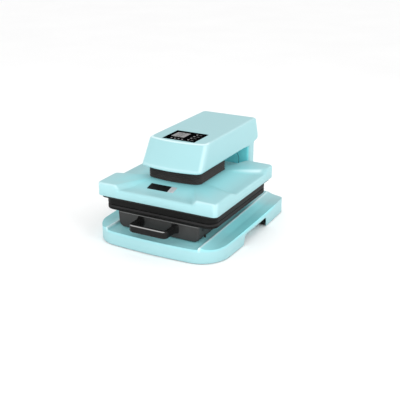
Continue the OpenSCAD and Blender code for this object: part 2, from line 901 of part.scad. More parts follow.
module column_bolt_places() {
    at_four(flange_w / 2 - 9, tube_y - flange_out + 6, tube_y + tube_d + flange_out - 6) children();
}

module column_tube() {
    y = [tube_y, tube_y + tube_d];
    color(steel_grey) place() difference() {
        union() {
            block([-tube_w / 2, tube_w / 2], y, [pan_top, head_top - 4 * head_wall]);
            block([-flange_w / 2, flange_w / 2], [y[0] - flange_out, y[1] + flange_out],
                [pan_top, pan_top + flange_t]);
        }
        block([tube_wall - tube_w / 2, tube_w / 2 - tube_wall], [y[0] + tube_wall, y[1] - tube_wall],
            [pan_top - through, head_top]);
        column_bolt_places() post(0, 0, m6_r + screw_fit, pan_top - through, pan_top + flange_t + through);
    }
}

module column_bolts() {
    color(steel_grey) place() column_bolt_places() difference() {
        screw_down(m6_r, pan_z, pan_top + flange_t);
        post(0, 0, m6_r / 2, pan_top + flange_t + 1, pan_top + flange_t + head_tall + through);
    }
}

module press_plate() {
    color(steel_grey) place() difference() {
        block([-plate_w / 2, plate_w / 2], [-plate_front, tube_y], [plate_z, plate_top]);
        rod_places() post(0, 0, bush_r, plate_z - through, plate_top + through);
        post(0, 0, journal_d / 2 + 3, plate_z - through, plate_top + through);
    }
}

module frame_gussets() {
    tall = 44;
    reach = 160;
    gusset_t = 4;
    side = [[tube_y - reach, plate_top], [tube_y, plate_top], [tube_y, plate_z], [tube_y + tube_d, plate_z],
        [tube_y + tube_d, plate_top + tall], [tube_y - 30, plate_top + tall], [tube_y - reach, plate_top + 8]];
    color(steel_grey) place() both_sides() wall_yz(side, tube_w / 2, tube_w / 2 + gusset_t);
}

function column_pts(inset) = box_pts(inset - column_w / 2, column_w / 2 - inset,
    column_y + inset, column_rear - inset, max(1, column_corner - inset));

module rear_screw_places() {
    inset = vent_rim / 2;
    for (x = [-1, 1], z = [vent_panel_z[0] + inset, vent_panel_z[1] - inset])
        translate([x * (vent_panel_w / 2 - inset), 0, z]) children();
}

module column_cover() {
    rear = [column_rear - column_wall - through, column_rear + through];
    open_half = vent_panel_w / 2 - vent_rim;
    color(shell_blue) place() difference() {
        slab(column_pts(0), deck_z, head_z);
        slab(column_pts(column_wall), deck_z - through, head_z + through);
        block([-open_half, open_half], rear, [vent_panel_z[0] + vent_rim, vent_panel_z[1] - vent_rim]);
        rear_screw_places() bar_y(0, rear[0], rear[1], 0, m4_r + screw_fit);
        socket_cut(socket_x, inlet_body.x / 2 + seat_fit, inlet_body.y / 2 + seat_fit, rear);
        socket_cut(-socket_x, switch_body.x / 2 + seat_fit, switch_body.y / 2 + seat_fit, rear);
    }
}

module socket_cut(x, half_w, half_h, y) {
    block([x - half_w, x + half_w], y, [socket_z - half_h, socket_z + half_h]);
}

module column_panel() {
    half = arch_w / 2;
    color(shell_blue) place() wall_xz(rounded([[-half, deck_z, 0], [half, deck_z, 0],
        [half, head_z - arch_drop, arch_corner], [-half, head_z - arch_drop, arch_corner]]),
        column_y - arch_t, column_y);
}

module rear_panel() {
    half = vent_panel_w / 2;
    slot_step = 9;
    slot_h = 4;
    low = vent_panel_z[0] + vent_slot_in;
    color(shell_blue) place() difference() {
        block([-half, half], [column_rear, column_rear + vent_panel_t], vent_panel_z);
        for (z = [low:slot_step:vent_panel_z[1] - vent_slot_in - slot_h])
            block([vent_slot_in - half, half - vent_slot_in],
                [column_rear - through, column_rear + vent_panel_t + through], [z, z + slot_h]);
        rear_screw_places() bar_y(0, column_rear - through, column_rear + vent_panel_t + through, 0,
            m4_r + screw_fit);
    }
}

module rear_screws() {
    color(steel_grey) place() rear_screw_places() {
        bar_y(0, column_rear - column_wall, column_rear + vent_panel_t, 0, m4_r);
        bar_y(0, column_rear + vent_panel_t, column_rear + vent_panel_t + 2, 0, 2 * m4_r);
    }
}

// Head

// the head's block, shrunk by inset, with its lower face at z0
module head_form(inset, z0) {
    far = head_front + 40;
    half = head_w / 2 - inset;
    top = head_top - inset;
    side = rounded([[-far, z0, 0], [column_rear - inset, z0, 0],
        [column_rear - inset, max(head_z, z0 + 1) + inset, 0],
        [head_rear - inset, head_z + rear_slope_h + inset, 6],
        [head_rear - inset, head_z + rear_slope_h + rear_flat_h, 10],
        [head_rear - rear_lean - inset, top, head_round], [-far, top, 0]]);
    front = rounded([[-half, z0, 0], [half, z0, 0], [half - head_draft, top, head_round],
        [head_draft - half, top, head_round]]);
    nose = bowed_pts(half, inset - head_front + nose_bow, 2 * head_rear, nose_corner - inset, 0, nose_bow, 0);
    intersection() {
        wall_yz(side, -head_w, head_w);
        wall_xz(front, -far, head_rear + through);
        translate([0, -head_front, head_z]) rotate([-lean, 0, 0]) translate([0, head_front, 0])
            slab(nose, -4 * head_h, 4 * head_h);
    }
}

module head_boss_places() {
    at_four(head_boss_x, head_boss_y[0], head_boss_y[1]) children();
}

module head_cover() {
    glass_y = [-glass_front - seat_fit / 2, glass_l - glass_front + seat_fit / 2];
    glass_half = (glass_w + seat_fit) / 2;
    color(shell_blue) place() difference() {
        union() {
            difference() {
                head_form(0, head_z);
                head_form(head_wall, head_z - through);
            }
            head_boss_places() post(0, 0, head_boss_r, head_z + underside_t, head_top - head_wall / 2);
        }
        block([-glass_half, glass_half], glass_y, [head_top - glass_t, head_top + through]);
        block(panel_x, [-glass_front + panel_edge, glass_l - glass_front - panel_edge],
            [head_top - 2 * head_wall, head_top]);
        head_boss_places() post(0, 0, m4_r + screw_fit, head_z, head_z + underside_t + head_screw_l + through);
    }
}

module head_underside() {
    color(shell_blue) place() difference() {
        intersection() {
            head_form(head_wall + seat_fit, head_z - through);
            block([-head_w, head_w], [-head_front, column_y - seat_fit], [head_z, head_z + underside_t]);
        }
        slab(bellows_pts(pleat_depth + bellows_skin), head_z - through, head_z + underside_t + through);
        head_boss_places() {
            post(0, 0, m4_r + screw_fit, head_z - through, head_z + underside_t + through);
            post(0, 0, 2 * m4_r + screw_fit, head_z - through, head_z + underside_t - 1);
        }
    }
}

module head_screws() {
    color(steel_grey) place() head_boss_places() {
        post(0, 0, m4_r, head_z, head_z + underside_t + head_screw_l);
        post(0, 0, 2 * m4_r, head_z, head_z + underside_t - 1);
    }
}

module bellows() {
    pleat_h = bellows_h / pleats;
    color(coat_black) place() difference() {
        union() {
            slab(bellows_pts(pleat_depth), cover_top, head_z);
            for (i = [0:pleats - 1])
                slab(bellows_pts(0), cover_top + i * pleat_h + pleat_h / 4,
                    cover_top + (i + 1) * pleat_h - pleat_h / 4);
        }
        slab(bellows_pts(pleat_depth + bellows_skin), cover_top - through, head_z + through);
    }
}

// Drive

module guide_bushes() {
    color(brass) place() rod_places() difference() {
        union() {
            post(0, 0, bush_r, plate_z, plate_top);
            post(0, 0, bush_flange_r, plate_top, plate_top + bush_flange_t);
        }
        post(0, 0, rod_d / 2 + run_fit, plate_z - through, plate_top + bush_flange_t + through);
    }
}

module thrust_washer() {
    color(brass) place() difference() {
        post(0, 0, collar_r, plate_z - washer_t, plate_z);
        post(0, 0, journal_d / 2 + 0.5, plate_z - washer_t - through, plate_z + through);
    }
}

module screw_bearing() {
    color(steel_grey) place() difference() {
        post(0, 0, journal_d / 2 + 12, plate_top, bearing_top);
        post(0, 0, journal_d / 2 + run_fit, plate_top - through, bearing_top + through);
    }
}

module lead_screw() {
    color(steel_grey) place() {
        post(0, 0, screw_d / 2, screw_end, collar_z);
        post(0, 0, collar_r, collar_z, collar_z + collar_h - run_fit);
        post(0, 0, journal_d / 2, collar_z, gear_z);
        post(0, 0, seat_d / 2, gear_z, gear_top + 3);
    }
}

module driven_gear() {
    color(brass) place() difference() {
        slab(gear_pts(gear_teeth, 90), gear_z, gear_top);
        post(0, 0, seat_d / 2 + run_fit, gear_z - through, gear_top + through);
    }
}

module motor_pinion() {
    color(steel_grey) place() translate([0, gear_spacing, 0]) {
        slab(gear_pts(pinion_teeth, -90 + 180 / pinion_teeth), gear_z, gear_top);
        post(0, 0, shaft_d / 2, gear_z, motor_z + 10);
    }
}

module motor_bracket() {
    half = motor_d / 2 + 8;
    y = [gear_spacing - motor_d / 2, gear_spacing + motor_d / 2 + 2];
    leg_t = 4;
    color(steel_grey) place() difference() {
        union() {
            block([-half, half], y, [bracket_z, motor_z]);
            both_sides() block([half - leg_t, half], [gear_spacing - 2, y[1]], [plate_top, motor_z]);
        }
        post(0, gear_spacing, shaft_d / 2 + 4, bracket_z - through, motor_z + through);
    }
}

module gear_motor() {
    color(panel_black) place() difference() {
        post(0, gear_spacing, motor_d / 2, motor_z, motor_z + motor_h);
        post(0, gear_spacing, shaft_d / 2 + run_fit, motor_z - through, motor_z + 11);
    }
}

module limit_switches() {
    x = plate_w / 2 - limit_edge;
    y = bush_flange_r + 4;
    color(coat_black) place() both_sides()
        block([x - limit_size.x, x], [y, y + limit_size.y], [plate_top, plate_top + limit_size.z]);
}

// Electrics

module power_supply() {
    half = tube_w / 2 - 10;
    top = plate_top + supply_h;
    color(steel_grey) place() difference() {
        block([-half, half], supply_y, [plate_top, top]);
        block([supply_wall - half, half - supply_wall], [supply_y[0] + supply_wall, supply_y[1] - supply_wall],
            [plate_top - through, top - supply_wall]);
        for (y = [supply_y[0] + 10:12:supply_y[1] - 15])
            block([-half + 12, half - 12], [y, y + 6], [top - 2 * supply_wall, top + through]);
    }
}

module control_board() {
    x = board_half;
    y = [gear_spacing + motor_d / 2 + 12, supply_y[0] - 10];
    z = plate_top + board_rise;
    color(board_green) place() {
        block([-x, x], y, [z, z + board_t]);
        block([-x + 8, -x + 30], [y[0] + 6, y[0] + 22], [z + board_t, z + board_t + 10]);
        at_four(x - 4, y[0] + 4, y[1] - 4) post(0, 0, 3, plate_top, z);
    }
}

module display_glass() {
    color([0.02, 0.02, 0.02]) place() block([-glass_w / 2, glass_w / 2],
        [-glass_front, glass_l - glass_front], [head_top - glass_t, head_top]);
}

module display_board() {
    z = head_top - head_wall;
    y = [-glass_front + panel_edge, glass_l - glass_front - panel_edge];
    color(board_green) place() {
        block([panel_x[0] - 4, panel_x[1] + 4], [y[0] - 4, y[1] + 4], [z - panel_t, z]);
        block([-glass_w / 2 + 6, glass_w / 2 - 6], [-glass_front + 4, y[1] + 4],
            [z - panel_t - board_t, z - panel_t]);
    }
}

inlet_body = [20, 27];
inlet_flange = [26, 33];
inlet_wall = 2;
inlet_depth = 18;
lip_t = 2.5;
switch_body = [18, 27];
switch_flange = [24, 33];
rocker_w = 11.6;
rocker_half = 9;
rocker_play = 0.2;
rocker_tilt = 10;
pivot_r = 1.5;
pivot_y = column_rear - 3;

module inset_box(body, flange, cavity, depth) {
    difference() {
        union() {
            block([-flange.x / 2, flange.x / 2], [column_rear, column_rear + lip_t], [-flange.y / 2, flange.y / 2]);
            block([-body.x / 2, body.x / 2], [column_rear - depth, column_rear + lip_t], [-body.y / 2, body.y / 2]);
        }
        block([-cavity.x / 2, cavity.x / 2], [column_rear - depth + inlet_wall, column_rear + lip_t + through],
            [-cavity.y / 2, cavity.y / 2]);
    }
}

module power_inlet() {
    color(coat_black) place() translate([socket_x, 0, socket_z])
        inset_box(inlet_body, inlet_flange, inlet_body - 2 * [inlet_wall, inlet_wall], inlet_depth);
}

module inlet_pins() {
    back = column_rear - inlet_depth + inlet_wall;
    color(brass) place() translate([socket_x, 0, socket_z]) for (i = [-1:1])
        block([abs(i) * 2 - 3, abs(i) * 2 - 1], [back, back + pin_l], [i * 7 - 2, i * 7 + 2]);
}

module switch_housing() {
    cavity = [rocker_w + 2 * rocker_play, 2 * rocker_half + 4];
    color(coat_black) place() translate([-socket_x, 0, socket_z]) difference() {
        inset_box(switch_body, switch_flange, cavity, inlet_depth);
        bar_x(-rocker_w / 2 - 2, rocker_w / 2 + 2, pivot_y, 0, pivot_r + run_fit);
    }
}

module switch_rocker() {
    side = [[-5, 0], [-3, -rocker_half], [5, -rocker_half], [3.5, 0], [5, rocker_half], [-3, rocker_half]];
    color(panel_black) place() translate([-socket_x, pivot_y, socket_z]) rotate([-rocker_tilt, 0, 0]) {
        wall_yz(side, -rocker_w / 2, rocker_w / 2);
        bar_x(-rocker_w / 2 - 2 + run_fit, rocker_w / 2 + 2 - run_fit, 0, 0, pivot_r);
    }
}

base_shell();
base_pan();
rubber_feet();
base_screws();
rail_pedestals();
fixed_rails();
column_tube();
column_bolts();
press_plate();
frame_gussets();
column_cover();
column_panel();
rear_panel();
rear_screws();
head_cover();
head_underside();
head_screws();
bellows();
guide_bushes();
thrust_washer();
screw_bearing();
motor_bracket();
gear_motor();
control_board();
power_supply();
display_glass();
display_board();
power_inlet();
inlet_pins();
switch_housing();
limit_switches();
middle_rails();
drawer_box();
drawer_handle();
handle_screws();
lower_platen();
platen_screws();
silicone_pad();
drawer_rails();
rail_screws();
heat_platen();
heater_element();
temperature_probe();
insulation_mat();
platen_tray();
tray_screws();
standoffs();
ram_plate();
ram_bolts();
guide_rods();
lead_nut();
platen_cover();
cover_screws();
label_plate();
lead_screw();
driven_gear();
motor_pinion();
switch_rocker();
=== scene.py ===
import bpy
import bmesh
import json
import math
from mathutils import Matrix, Vector

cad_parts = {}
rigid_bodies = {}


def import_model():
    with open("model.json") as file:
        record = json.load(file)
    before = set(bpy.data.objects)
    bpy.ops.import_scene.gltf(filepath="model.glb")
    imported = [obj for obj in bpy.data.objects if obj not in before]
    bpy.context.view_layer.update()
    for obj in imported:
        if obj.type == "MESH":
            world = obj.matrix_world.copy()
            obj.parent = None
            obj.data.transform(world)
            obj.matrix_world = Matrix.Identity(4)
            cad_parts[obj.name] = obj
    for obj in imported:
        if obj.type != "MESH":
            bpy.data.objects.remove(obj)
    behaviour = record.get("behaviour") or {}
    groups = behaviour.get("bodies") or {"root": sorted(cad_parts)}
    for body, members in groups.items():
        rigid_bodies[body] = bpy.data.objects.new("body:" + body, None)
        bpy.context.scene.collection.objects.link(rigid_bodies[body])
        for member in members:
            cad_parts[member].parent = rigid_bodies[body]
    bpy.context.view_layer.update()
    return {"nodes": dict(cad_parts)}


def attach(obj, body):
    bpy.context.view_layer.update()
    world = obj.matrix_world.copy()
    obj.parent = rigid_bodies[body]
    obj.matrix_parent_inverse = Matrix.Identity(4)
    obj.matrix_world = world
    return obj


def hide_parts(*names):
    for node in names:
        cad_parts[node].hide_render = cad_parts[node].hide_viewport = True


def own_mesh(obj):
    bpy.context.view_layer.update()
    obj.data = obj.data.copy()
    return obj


for leftOver in list(bpy.data.objects):  # a bare start has a cube, a lamp and a camera
    bpy.data.objects.remove(leftOver)

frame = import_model()
cadNodes = frame["nodes"]
print("frame loaded,", len(cadNodes), "nodes")


# camera and light

photoView = {"stands": (1.08333, -1.96299, 0.95652), "aims": (0.0, 0.0515, 0.0675), "lens": 67.03, "sensor": 36.0}
studio = {
    "floorHalf": 8.0, "worldStrength": 1.0, "lampAim": (0.0, 0.0, 0.12),
    "lamps": (("sideLamp", (2.1, -0.7, 1.05), 0.8, 13.0),  # name, place, size and power
              ("edgeLamp", (-1.0, -0.55, 1.75), 0.5, 1.2),
              ("frontLamp", (0.1, -2.3, 0.36), 0.9, 17.5),
              ("rearLamp", (1.05, 1.6, 0.85), 0.6, 5.0))}


def turnTowards(place, target):
    return (Vector(target) - Vector(place)).to_track_quat("-Z", "Y").to_euler()


def setCamera():
    lens = bpy.data.cameras.new("photoCamera")
    lens.lens = photoView["lens"]
    lens.sensor_width = photoView["sensor"]
    camera = bpy.data.objects.new("photoCamera", lens)
    camera.location = photoView["stands"]
    camera.rotation_euler = turnTowards(photoView["stands"], photoView["aims"])
    bpy.context.scene.collection.objects.link(camera)
    bpy.context.scene.camera = camera


def setLight():
    world = bpy.data.worlds.new("whiteStudio")
    world.use_nodes = True
    sky = world.node_tree.nodes["Background"]
    sky.inputs["Color"].default_value = (1.0, 1.0, 1.0, 1.0)
    sky.inputs["Strength"].default_value = studio["worldStrength"]
    bpy.context.scene.world = world
    bpy.context.scene.view_settings.view_transform = "Standard"
    for name, place, size, power in studio["lamps"]:
        lamp = bpy.data.lights.new(name, "AREA")
        lamp.shape = "DISK"
        lamp.size = size
        lamp.energy = power
        holder = bpy.data.objects.new(name, lamp)
        holder.location = place
        holder.rotation_euler = turnTowards(place, studio["lampAim"])
        bpy.context.scene.collection.objects.link(holder)


setCamera()
setLight()
print("camera and light set")


# finishes, each with a tone that drifts, a gloss that drifts and a fine grain

driftBand = (0.3, 0.7)  # the part of the noise that runs from the low tone to the high one


def grey(value):
    return (value, value, value)


def addNode(tree, kind, values=()):
    node = tree.nodes.new(kind)
    for socket, value in values:
        node.inputs[socket].default_value = value
    return node


def makeFinish(name, low, high, drift, rough, grain, stretch=(1.0, 1.0, 1.0), pebble=False, metal=0.0, specular=0.5,
               ior=1.5, recess=None, highlightTint=None):
    material = bpy.data.materials.new(name)
    material.use_nodes = True
    tree = material.node_tree
    shader = tree.nodes["Principled BSDF"]

    def wire(source, output, target, entry):
        tree.links.new(source.outputs[output], target.inputs[entry])

    place = addNode(tree, "ShaderNodeTexCoord")
    spread = addNode(tree, "ShaderNodeMapping", [("Scale", stretch)])
    wire(place, "Object", spread, "Vector")
    noise = addNode(tree, "ShaderNodeTexNoise", [("Scale", drift), ("Detail", 5.0)])
    wire(spread, "Vector", noise, "Vector")
    tone = addNode(tree, "ShaderNodeValToRGB")
    for index, colour in enumerate((low, high)):
        tone.color_ramp.elements[index].position = driftBand[index]
        tone.color_ramp.elements[index].color = (*colour, 1.0)
    wire(noise, "Fac", tone, "Fac")
    mixed = (tone, "Color")
    for colour, mark in ((recess, "paintedShade"), (highlightTint, "paintedHighlight")):  # painted shade in dips and painted highlights along edges, from the piece's own attributes
        if colour:
            share = addNode(tree, "ShaderNodeAttribute")
            share.attribute_name = mark
            paintMix = addNode(tree, "ShaderNodeMix")
            paintMix.data_type = "RGBA"
            paintMix.inputs["B"].default_value = (*colour, 1.0)
            wire(share, "Fac", paintMix, "Factor")
            wire(*mixed, paintMix, "A")
            mixed = (paintMix, "Result")
    wire(*mixed, shader, "Base Color")
    gloss = addNode(tree, "ShaderNodeMapRange", zip(("From Min", "From Max", "To Min", "To Max"), driftBand + rough))
    wire(noise, "Fac", gloss, "Value")
    wire(gloss, "Result", shader, "Roughness")
    scale, strength, depth = grain
    if pebble:
        texture, height = addNode(tree, "ShaderNodeTexVoronoi", [("Scale", scale)]), "Distance"
    else:
        texture, height = addNode(tree, "ShaderNodeTexNoise", [("Scale", scale), ("Detail", 3.0)]), "Fac"
    wire(spread, "Vector", texture, "Vector")
    relief = addNode(tree, "ShaderNodeBump", [("Strength", strength), ("Distance", depth)])
    wire(texture, height, relief, "Height")
    wire(relief, "Normal", shader, "Normal")
    for socket, value in (("Metallic", metal), ("Specular IOR Level", specular), ("IOR", ior)):
        shader.inputs[socket].default_value = value
    return material


# the highlight tint is a painted highlight for rounded edges and crests; the recess tint is a painted shade tint for
# shaded dips and faces
skyBlueShell = makeFinish(
    "skyBlueShell", (0.318, 0.554, 0.583), (0.334, 0.570, 0.599), 7.0, (0.40, 0.48), (1500.0, 0.05, 0.0003),
    ior=1.46, specular=0.36, highlightTint=(0.66, 0.84, 0.87), recess=(0.205, 0.800, 0.860))
seamShade = makeFinish(
    "seamShade", (0.014, 0.170, 0.215), (0.020, 0.200, 0.250), 40.0, (0.55, 0.65), (1500.0, 0.05, 0.0002))
drawerCoat = makeFinish(
    "drawerCoat", (0.0275, 0.0272, 0.0270), (0.0355, 0.0350, 0.0346), 18.0, (0.42, 0.50), (1700.0, 0.22, 0.0004),
    pebble=True, specular=0.3)
# the drawer's coat in a lighter grey: a painted highlight along the lip
lipHighlightGrey = makeFinish(
    "lipHighlightGrey", grey(0.108), (0.144, 0.144, 0.142), 60.0, (0.34, 0.42), (1700.0, 0.12, 0.0003), pebble=True,
    specular=0.4)
# its pale edge tone is a painted highlight along the bar's top edge
handleBlack = makeFinish(
    "handleBlack", grey(0.008), grey(0.012), 25.0, (0.18, 0.26), (1200.0, 0.05, 0.0003), specular=0.12,
    highlightTint=grey(0.42))
platenBlack = makeFinish(
    "platenBlack", grey(0.006), (0.0094, 0.0092, 0.0090), 12.0, (0.36, 0.46), (1300.0, 0.14, 0.0003), pebble=True,
    specular=0.08)
trayBlack = makeFinish(
    "trayBlack", grey(0.008), grey(0.013), 15.0, (0.44, 0.54), (1500.0, 0.12, 0.0003), specular=0.2)
padSilicone = makeFinish(
    "padSilicone", grey(0.012), (0.019, 0.018, 0.018), 30.0, (0.62, 0.74), (900.0, 0.35, 0.0005), pebble=True,
    specular=0.2)
bellowsRubber = makeFinish(
    "bellowsRubber", (0.031, 0.029, 0.0282), (0.041, 0.0385, 0.0375), 22.0, (0.46, 0.58), (1100.0, 0.18, 0.0004),
    specular=0.12)
footRubber = makeFinish(
    "footRubber", grey(0.012), grey(0.020), 60.0, (0.75, 0.86), (1000.0, 0.4, 0.0005), specular=0.2)
panBlack = makeFinish(
    "panBlack", grey(0.010), grey(0.016), 14.0, (0.5, 0.6), (1500.0, 0.15, 0.0003), specular=0.2)
socketBlack = makeFinish(
    "socketBlack", grey(0.011), grey(0.017), 60.0, (0.34, 0.42), (2200.0, 0.12, 0.0002), specular=0.3)
brushedSteel = makeFinish(
    "brushedSteel", (0.50, 0.51, 0.52), (0.64, 0.65, 0.66), 30.0, (0.26, 0.40), (900.0, 0.1, 0.0002),
    stretch=(1.0, 0.06, 1.0), metal=1.0)
zincSteel = makeFinish(
    "zincSteel", (0.42, 0.43, 0.44), (0.60, 0.60, 0.59), 120.0, (0.30, 0.45), (1400.0, 0.1, 0.0002), metal=1.0)
blackScrew = makeFinish(
    "blackScrew", grey(0.010), grey(0.018), 200.0, (0.35, 0.45), (2400.0, 0.1, 0.0002), metal=0.4)
bushBronze = makeFinish(
    "bushBronze", (0.52, 0.33, 0.13), (0.66, 0.46, 0.21), 80.0, (0.28, 0.42), (1600.0, 0.08, 0.0002), metal=1.0)
boardGreen = makeFinish(
    "boardGreen", (0.010, 0.075, 0.030), (0.016, 0.110, 0.045), 260.0, (0.32, 0.48), (1800.0, 0.2, 0.0003))
matFibre = makeFinish(
    "matFibre", (0.62, 0.58, 0.50), (0.78, 0.75, 0.68), 160.0, (0.85, 0.95), (1400.0, 0.6, 0.0008))
screenGlass = makeFinish(
    "screenGlass", (0.0012, 0.0012, 0.0015), (0.0020, 0.0020, 0.0024), 9.0, (0.10, 0.16), (800.0, 0.01, 0.0001),
    specular=0.0)
screenGrey = makeFinish(
    "screenGrey", grey(0.205), grey(0.268), 90.0, (0.35, 0.45), (2600.0, 0.04, 0.0001), specular=0.1)
screenMark = makeFinish(
    "screenMark", grey(0.17), grey(0.23), 300.0, (0.40, 0.50), (2600.0, 0.04, 0.0001), specular=0.2)
labelBlack = makeFinish(
    "labelBlack", grey(0.0045), grey(0.0080), 40.0, (0.30, 0.38), (1800.0, 0.05, 0.0002), specular=0.12)
labelSilver = makeFinish(
    "labelSilver", (0.40, 0.43, 0.45), (0.50, 0.53, 0.55), 120.0, (0.34, 0.44), (1500.0, 0.06, 0.0002),
    stretch=(1.0, 0.1, 1.0))
paleFloor = makeFinish(
    "paleFloor", grey(0.965), grey(0.985), 2.0, (0.8, 0.9), (300.0, 0.02, 0.0002))
print("finishes made")


# shared shaping

cutReach = 0.000002  # a point this near to a cut lies on it
mergeReach = 0.000004
cornerSlack = 0.0005  # takes in the end of a rounded corner
sharpAngle = math.radians(50.0)


def blendStep(low, high, value):
    part = min(1.0, max(0.0, (value - low) / (high - low)))
    return part * part * (3.0 - 2.0 * part)


def between(first, second, part):
    return first + (second - first) * part


def bump(value, middle, reach):  # full at the middle, nothing from the reach on
    return 1.0 - blendStep(0.0, reach, abs(value - middle))


def roundDrop(radius, fromEdge):  # fall of a rounded edge
    if fromEdge >= radius:
        return 0.0
    return radius - math.sqrt(radius ** 2 - (radius - fromEdge) ** 2)


def rollRows(radius, steps, fromZ, direction):  # rows of a quarter round, as height and inset
    rows = []
    for step in range(steps + 1):
        angle = 0.5 * math.pi * step / steps
        rows.append((fromZ + direction * radius * (1.0 - math.cos(angle)), radius * (1.0 - math.sin(angle))))
    return rows


def edgeRows(lowZ, highZ, lowRound, highRound, steps=4):  # bottom round, upright wall, top round
    rows = rollRows(lowRound, steps, lowZ, 1.0)
    return rows + rollRows(highRound, steps, highZ, -1.0)[::-1]


def pick(values, names):
    return [values[name] for name in names.split()]


def only(kind, items):
    return [item for item in items if isinstance(item, kind)]


def border(bm):
    return [edge for edge in bm.edges if edge.is_boundary]


def growRim(bm, rim):  # draws a border one row on, gives its new edges and points
    grown = bmesh.ops.extrude_edge_only(bm, edges=rim)["geom"]
    return only(bmesh.types.BMEdge, grown), only(bmesh.types.BMVert, grown)


def roundedFace(bm, lowX, highX, lowY, highY, radii, segments=8):
    places = ((lowX, lowY), (highX, lowY), (highX, highY), (lowX, highY))
    corners = [bm.verts.new((x, y, 0.0)) for x, y in places]
    bm.faces.new(corners)
    for corner, radius in zip(corners, radii):
        if radius > 0.0:
            bmesh.ops.bevel(bm, geom=[corner], offset=radius, offset_type="OFFSET", affect="VERTICES",
                            segments=segments, profile=0.5, material=-1)
    bm.faces.ensure_lookup_table()
    return bm.faces[0]


def splitLong(bm, longest, cuts):  # adds points along the straight runs of an outline
    runs = [edge for edge in bm.edges if edge.calc_length() > longest]
    bmesh.ops.subdivide_edges(bm, edges=runs, cuts=cuts)
    bm.faces.ensure_lookup_table()
    return bm.faces[0]


def bowedFace(bm, shape, rear):  # rounded outline whose front bows forwards
    half, front, corner, rearCorner = pick(shape, "half front frontCorner rearCorner")
    roundedFace(bm, -half, half, front, rear, (corner, corner, rearCorner, rearCorner), segments=10)
    face = splitLong(bm, shape["longRun"], shape["runCuts"])
    cornerEnd = front + corner + cornerSlack
    for vert in bm.verts:
        if vert.co.y < cornerEnd:
            vert.co.y -= shape["bow"] * (1.0 - (vert.co.x / half) ** 2)
    return face


def keepPlan(bm, face):  # remembers where each outline point lies and which way is out
    layers = [bm.verts.layers.float.new(name) for name in ("planX", "planY", "outX", "outY")]
    loop = [corner.vert for corner in face.loops]
    count = len(loop)
    for index, vert in enumerate(loop):
        along = loop[(index + 1) % count].co - loop[index - 1].co
        out = Vector((along.y, -along.x, 0.0)).normalized()
        for layer, value in zip(layers, (vert.co.x, vert.co.y, out.x, out.y)):
            vert[layer] = value
    return layers


def levelPoint(x, y, outX, outY, row):  # a row is a height and an inset
    return x - outX * row[1], y - outY * row[1], row[0]


def uprightPoint(x, y, outX, outY, row):
    return x - outX * row[1], row[0], y - outY * row[1]


def loft(bm, face, rows, pointAt=levelPoint):  # draws the outline through the rows, gives both end faces
    layers = keepPlan(bm, face)
    first = face
    for index, row in enumerate(rows):
        if index:
            grown = bmesh.ops.extrude_face_region(bm, geom=[face], use_keep_orig=face is first)
            if face is not first and face.is_valid:
                bm.faces.remove(face)
            face = only(bmesh.types.BMFace, grown["geom"])[0]
        for vert in face.verts:
            vert.co = pointAt(*(vert[layer] for layer in layers), row)
    return first, face


def openLoft(bm, face, rows):  # a loft without its two end faces
    bmesh.ops.delete(bm, geom=list(loft(bm, face, rows)), context="FACES_ONLY")


def markShare(bm, mark, amount):  # keeps each point's share of a second tone
    layer = bm.verts.layers.float.new(mark)
    for vert in bm.verts:
        vert[layer] = amount(vert)
    return layer


def cutLine(bm, place, normal, faces=None):  # cuts the whole mesh, or only the faces given
    parts = bm.verts[:] + bm.edges[:] + bm.faces[:]
    if faces is not None:
        parts = list(dict.fromkeys(item for face in faces for item in (face, *face.edges, *face.verts)))
    bmesh.ops.bisect_plane(bm, geom=parts, dist=cutReach, plane_co=place, plane_no=normal)


def cutAt(bm, axis, places, faces=None):  # cuts square to an axis
    normal = Vector([float(axis == name) for name in "xyz"])
    for place in places:
        cutLine(bm, normal * place, normal, faces)


def dropFaces(bm, test):
    doomed = [face for face in bm.faces if test(face.calc_center_median())]
    bmesh.ops.delete(bm, geom=doomed, context="FACES")


def addPiece(bm, name, finish, body, replaced=(), wall=0.0, flats=True):
    bmesh.ops.remove_doubles(bm, verts=bm.verts[:], dist=mergeReach)
    bmesh.ops.recalc_face_normals(bm, faces=bm.faces[:])
    for face in bm.faces:
        face.smooth = True
    for edge in bm.edges:
        edge.smooth = edge.calc_face_angle(0.0) < sharpAngle
    mesh = bpy.data.meshes.new(name)
    bm.to_mesh(mesh)
    bm.free()
    mesh.materials.append(finish)
    piece = bpy.data.objects.new(name, mesh)
    bpy.context.scene.collection.objects.link(piece)
    if wall > 0.0:
        skin = piece.modifiers.new("wall", "SOLIDIFY")
        skin.thickness = wall
        skin.offset = -1.0
        skin.use_even_offset = True
    if flats:
        even = piece.modifiers.new("flatShading", "WEIGHTED_NORMAL")
        even.keep_sharp = True
    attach(piece, body)
    if replaced:
        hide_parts(*replaced)
    return piece


def slab(name, finish, body, replaced, plan, radii, rows, segments=8, pointAt=levelPoint):
    bm = bmesh.new()
    loft(bm, roundedFace(bm, *plan, radii, segments), rows, pointAt)
    return addPiece(bm, name, finish, body, replaced)


# base casing: one skin shaped by the distance from its edge and from the crests beside the deck

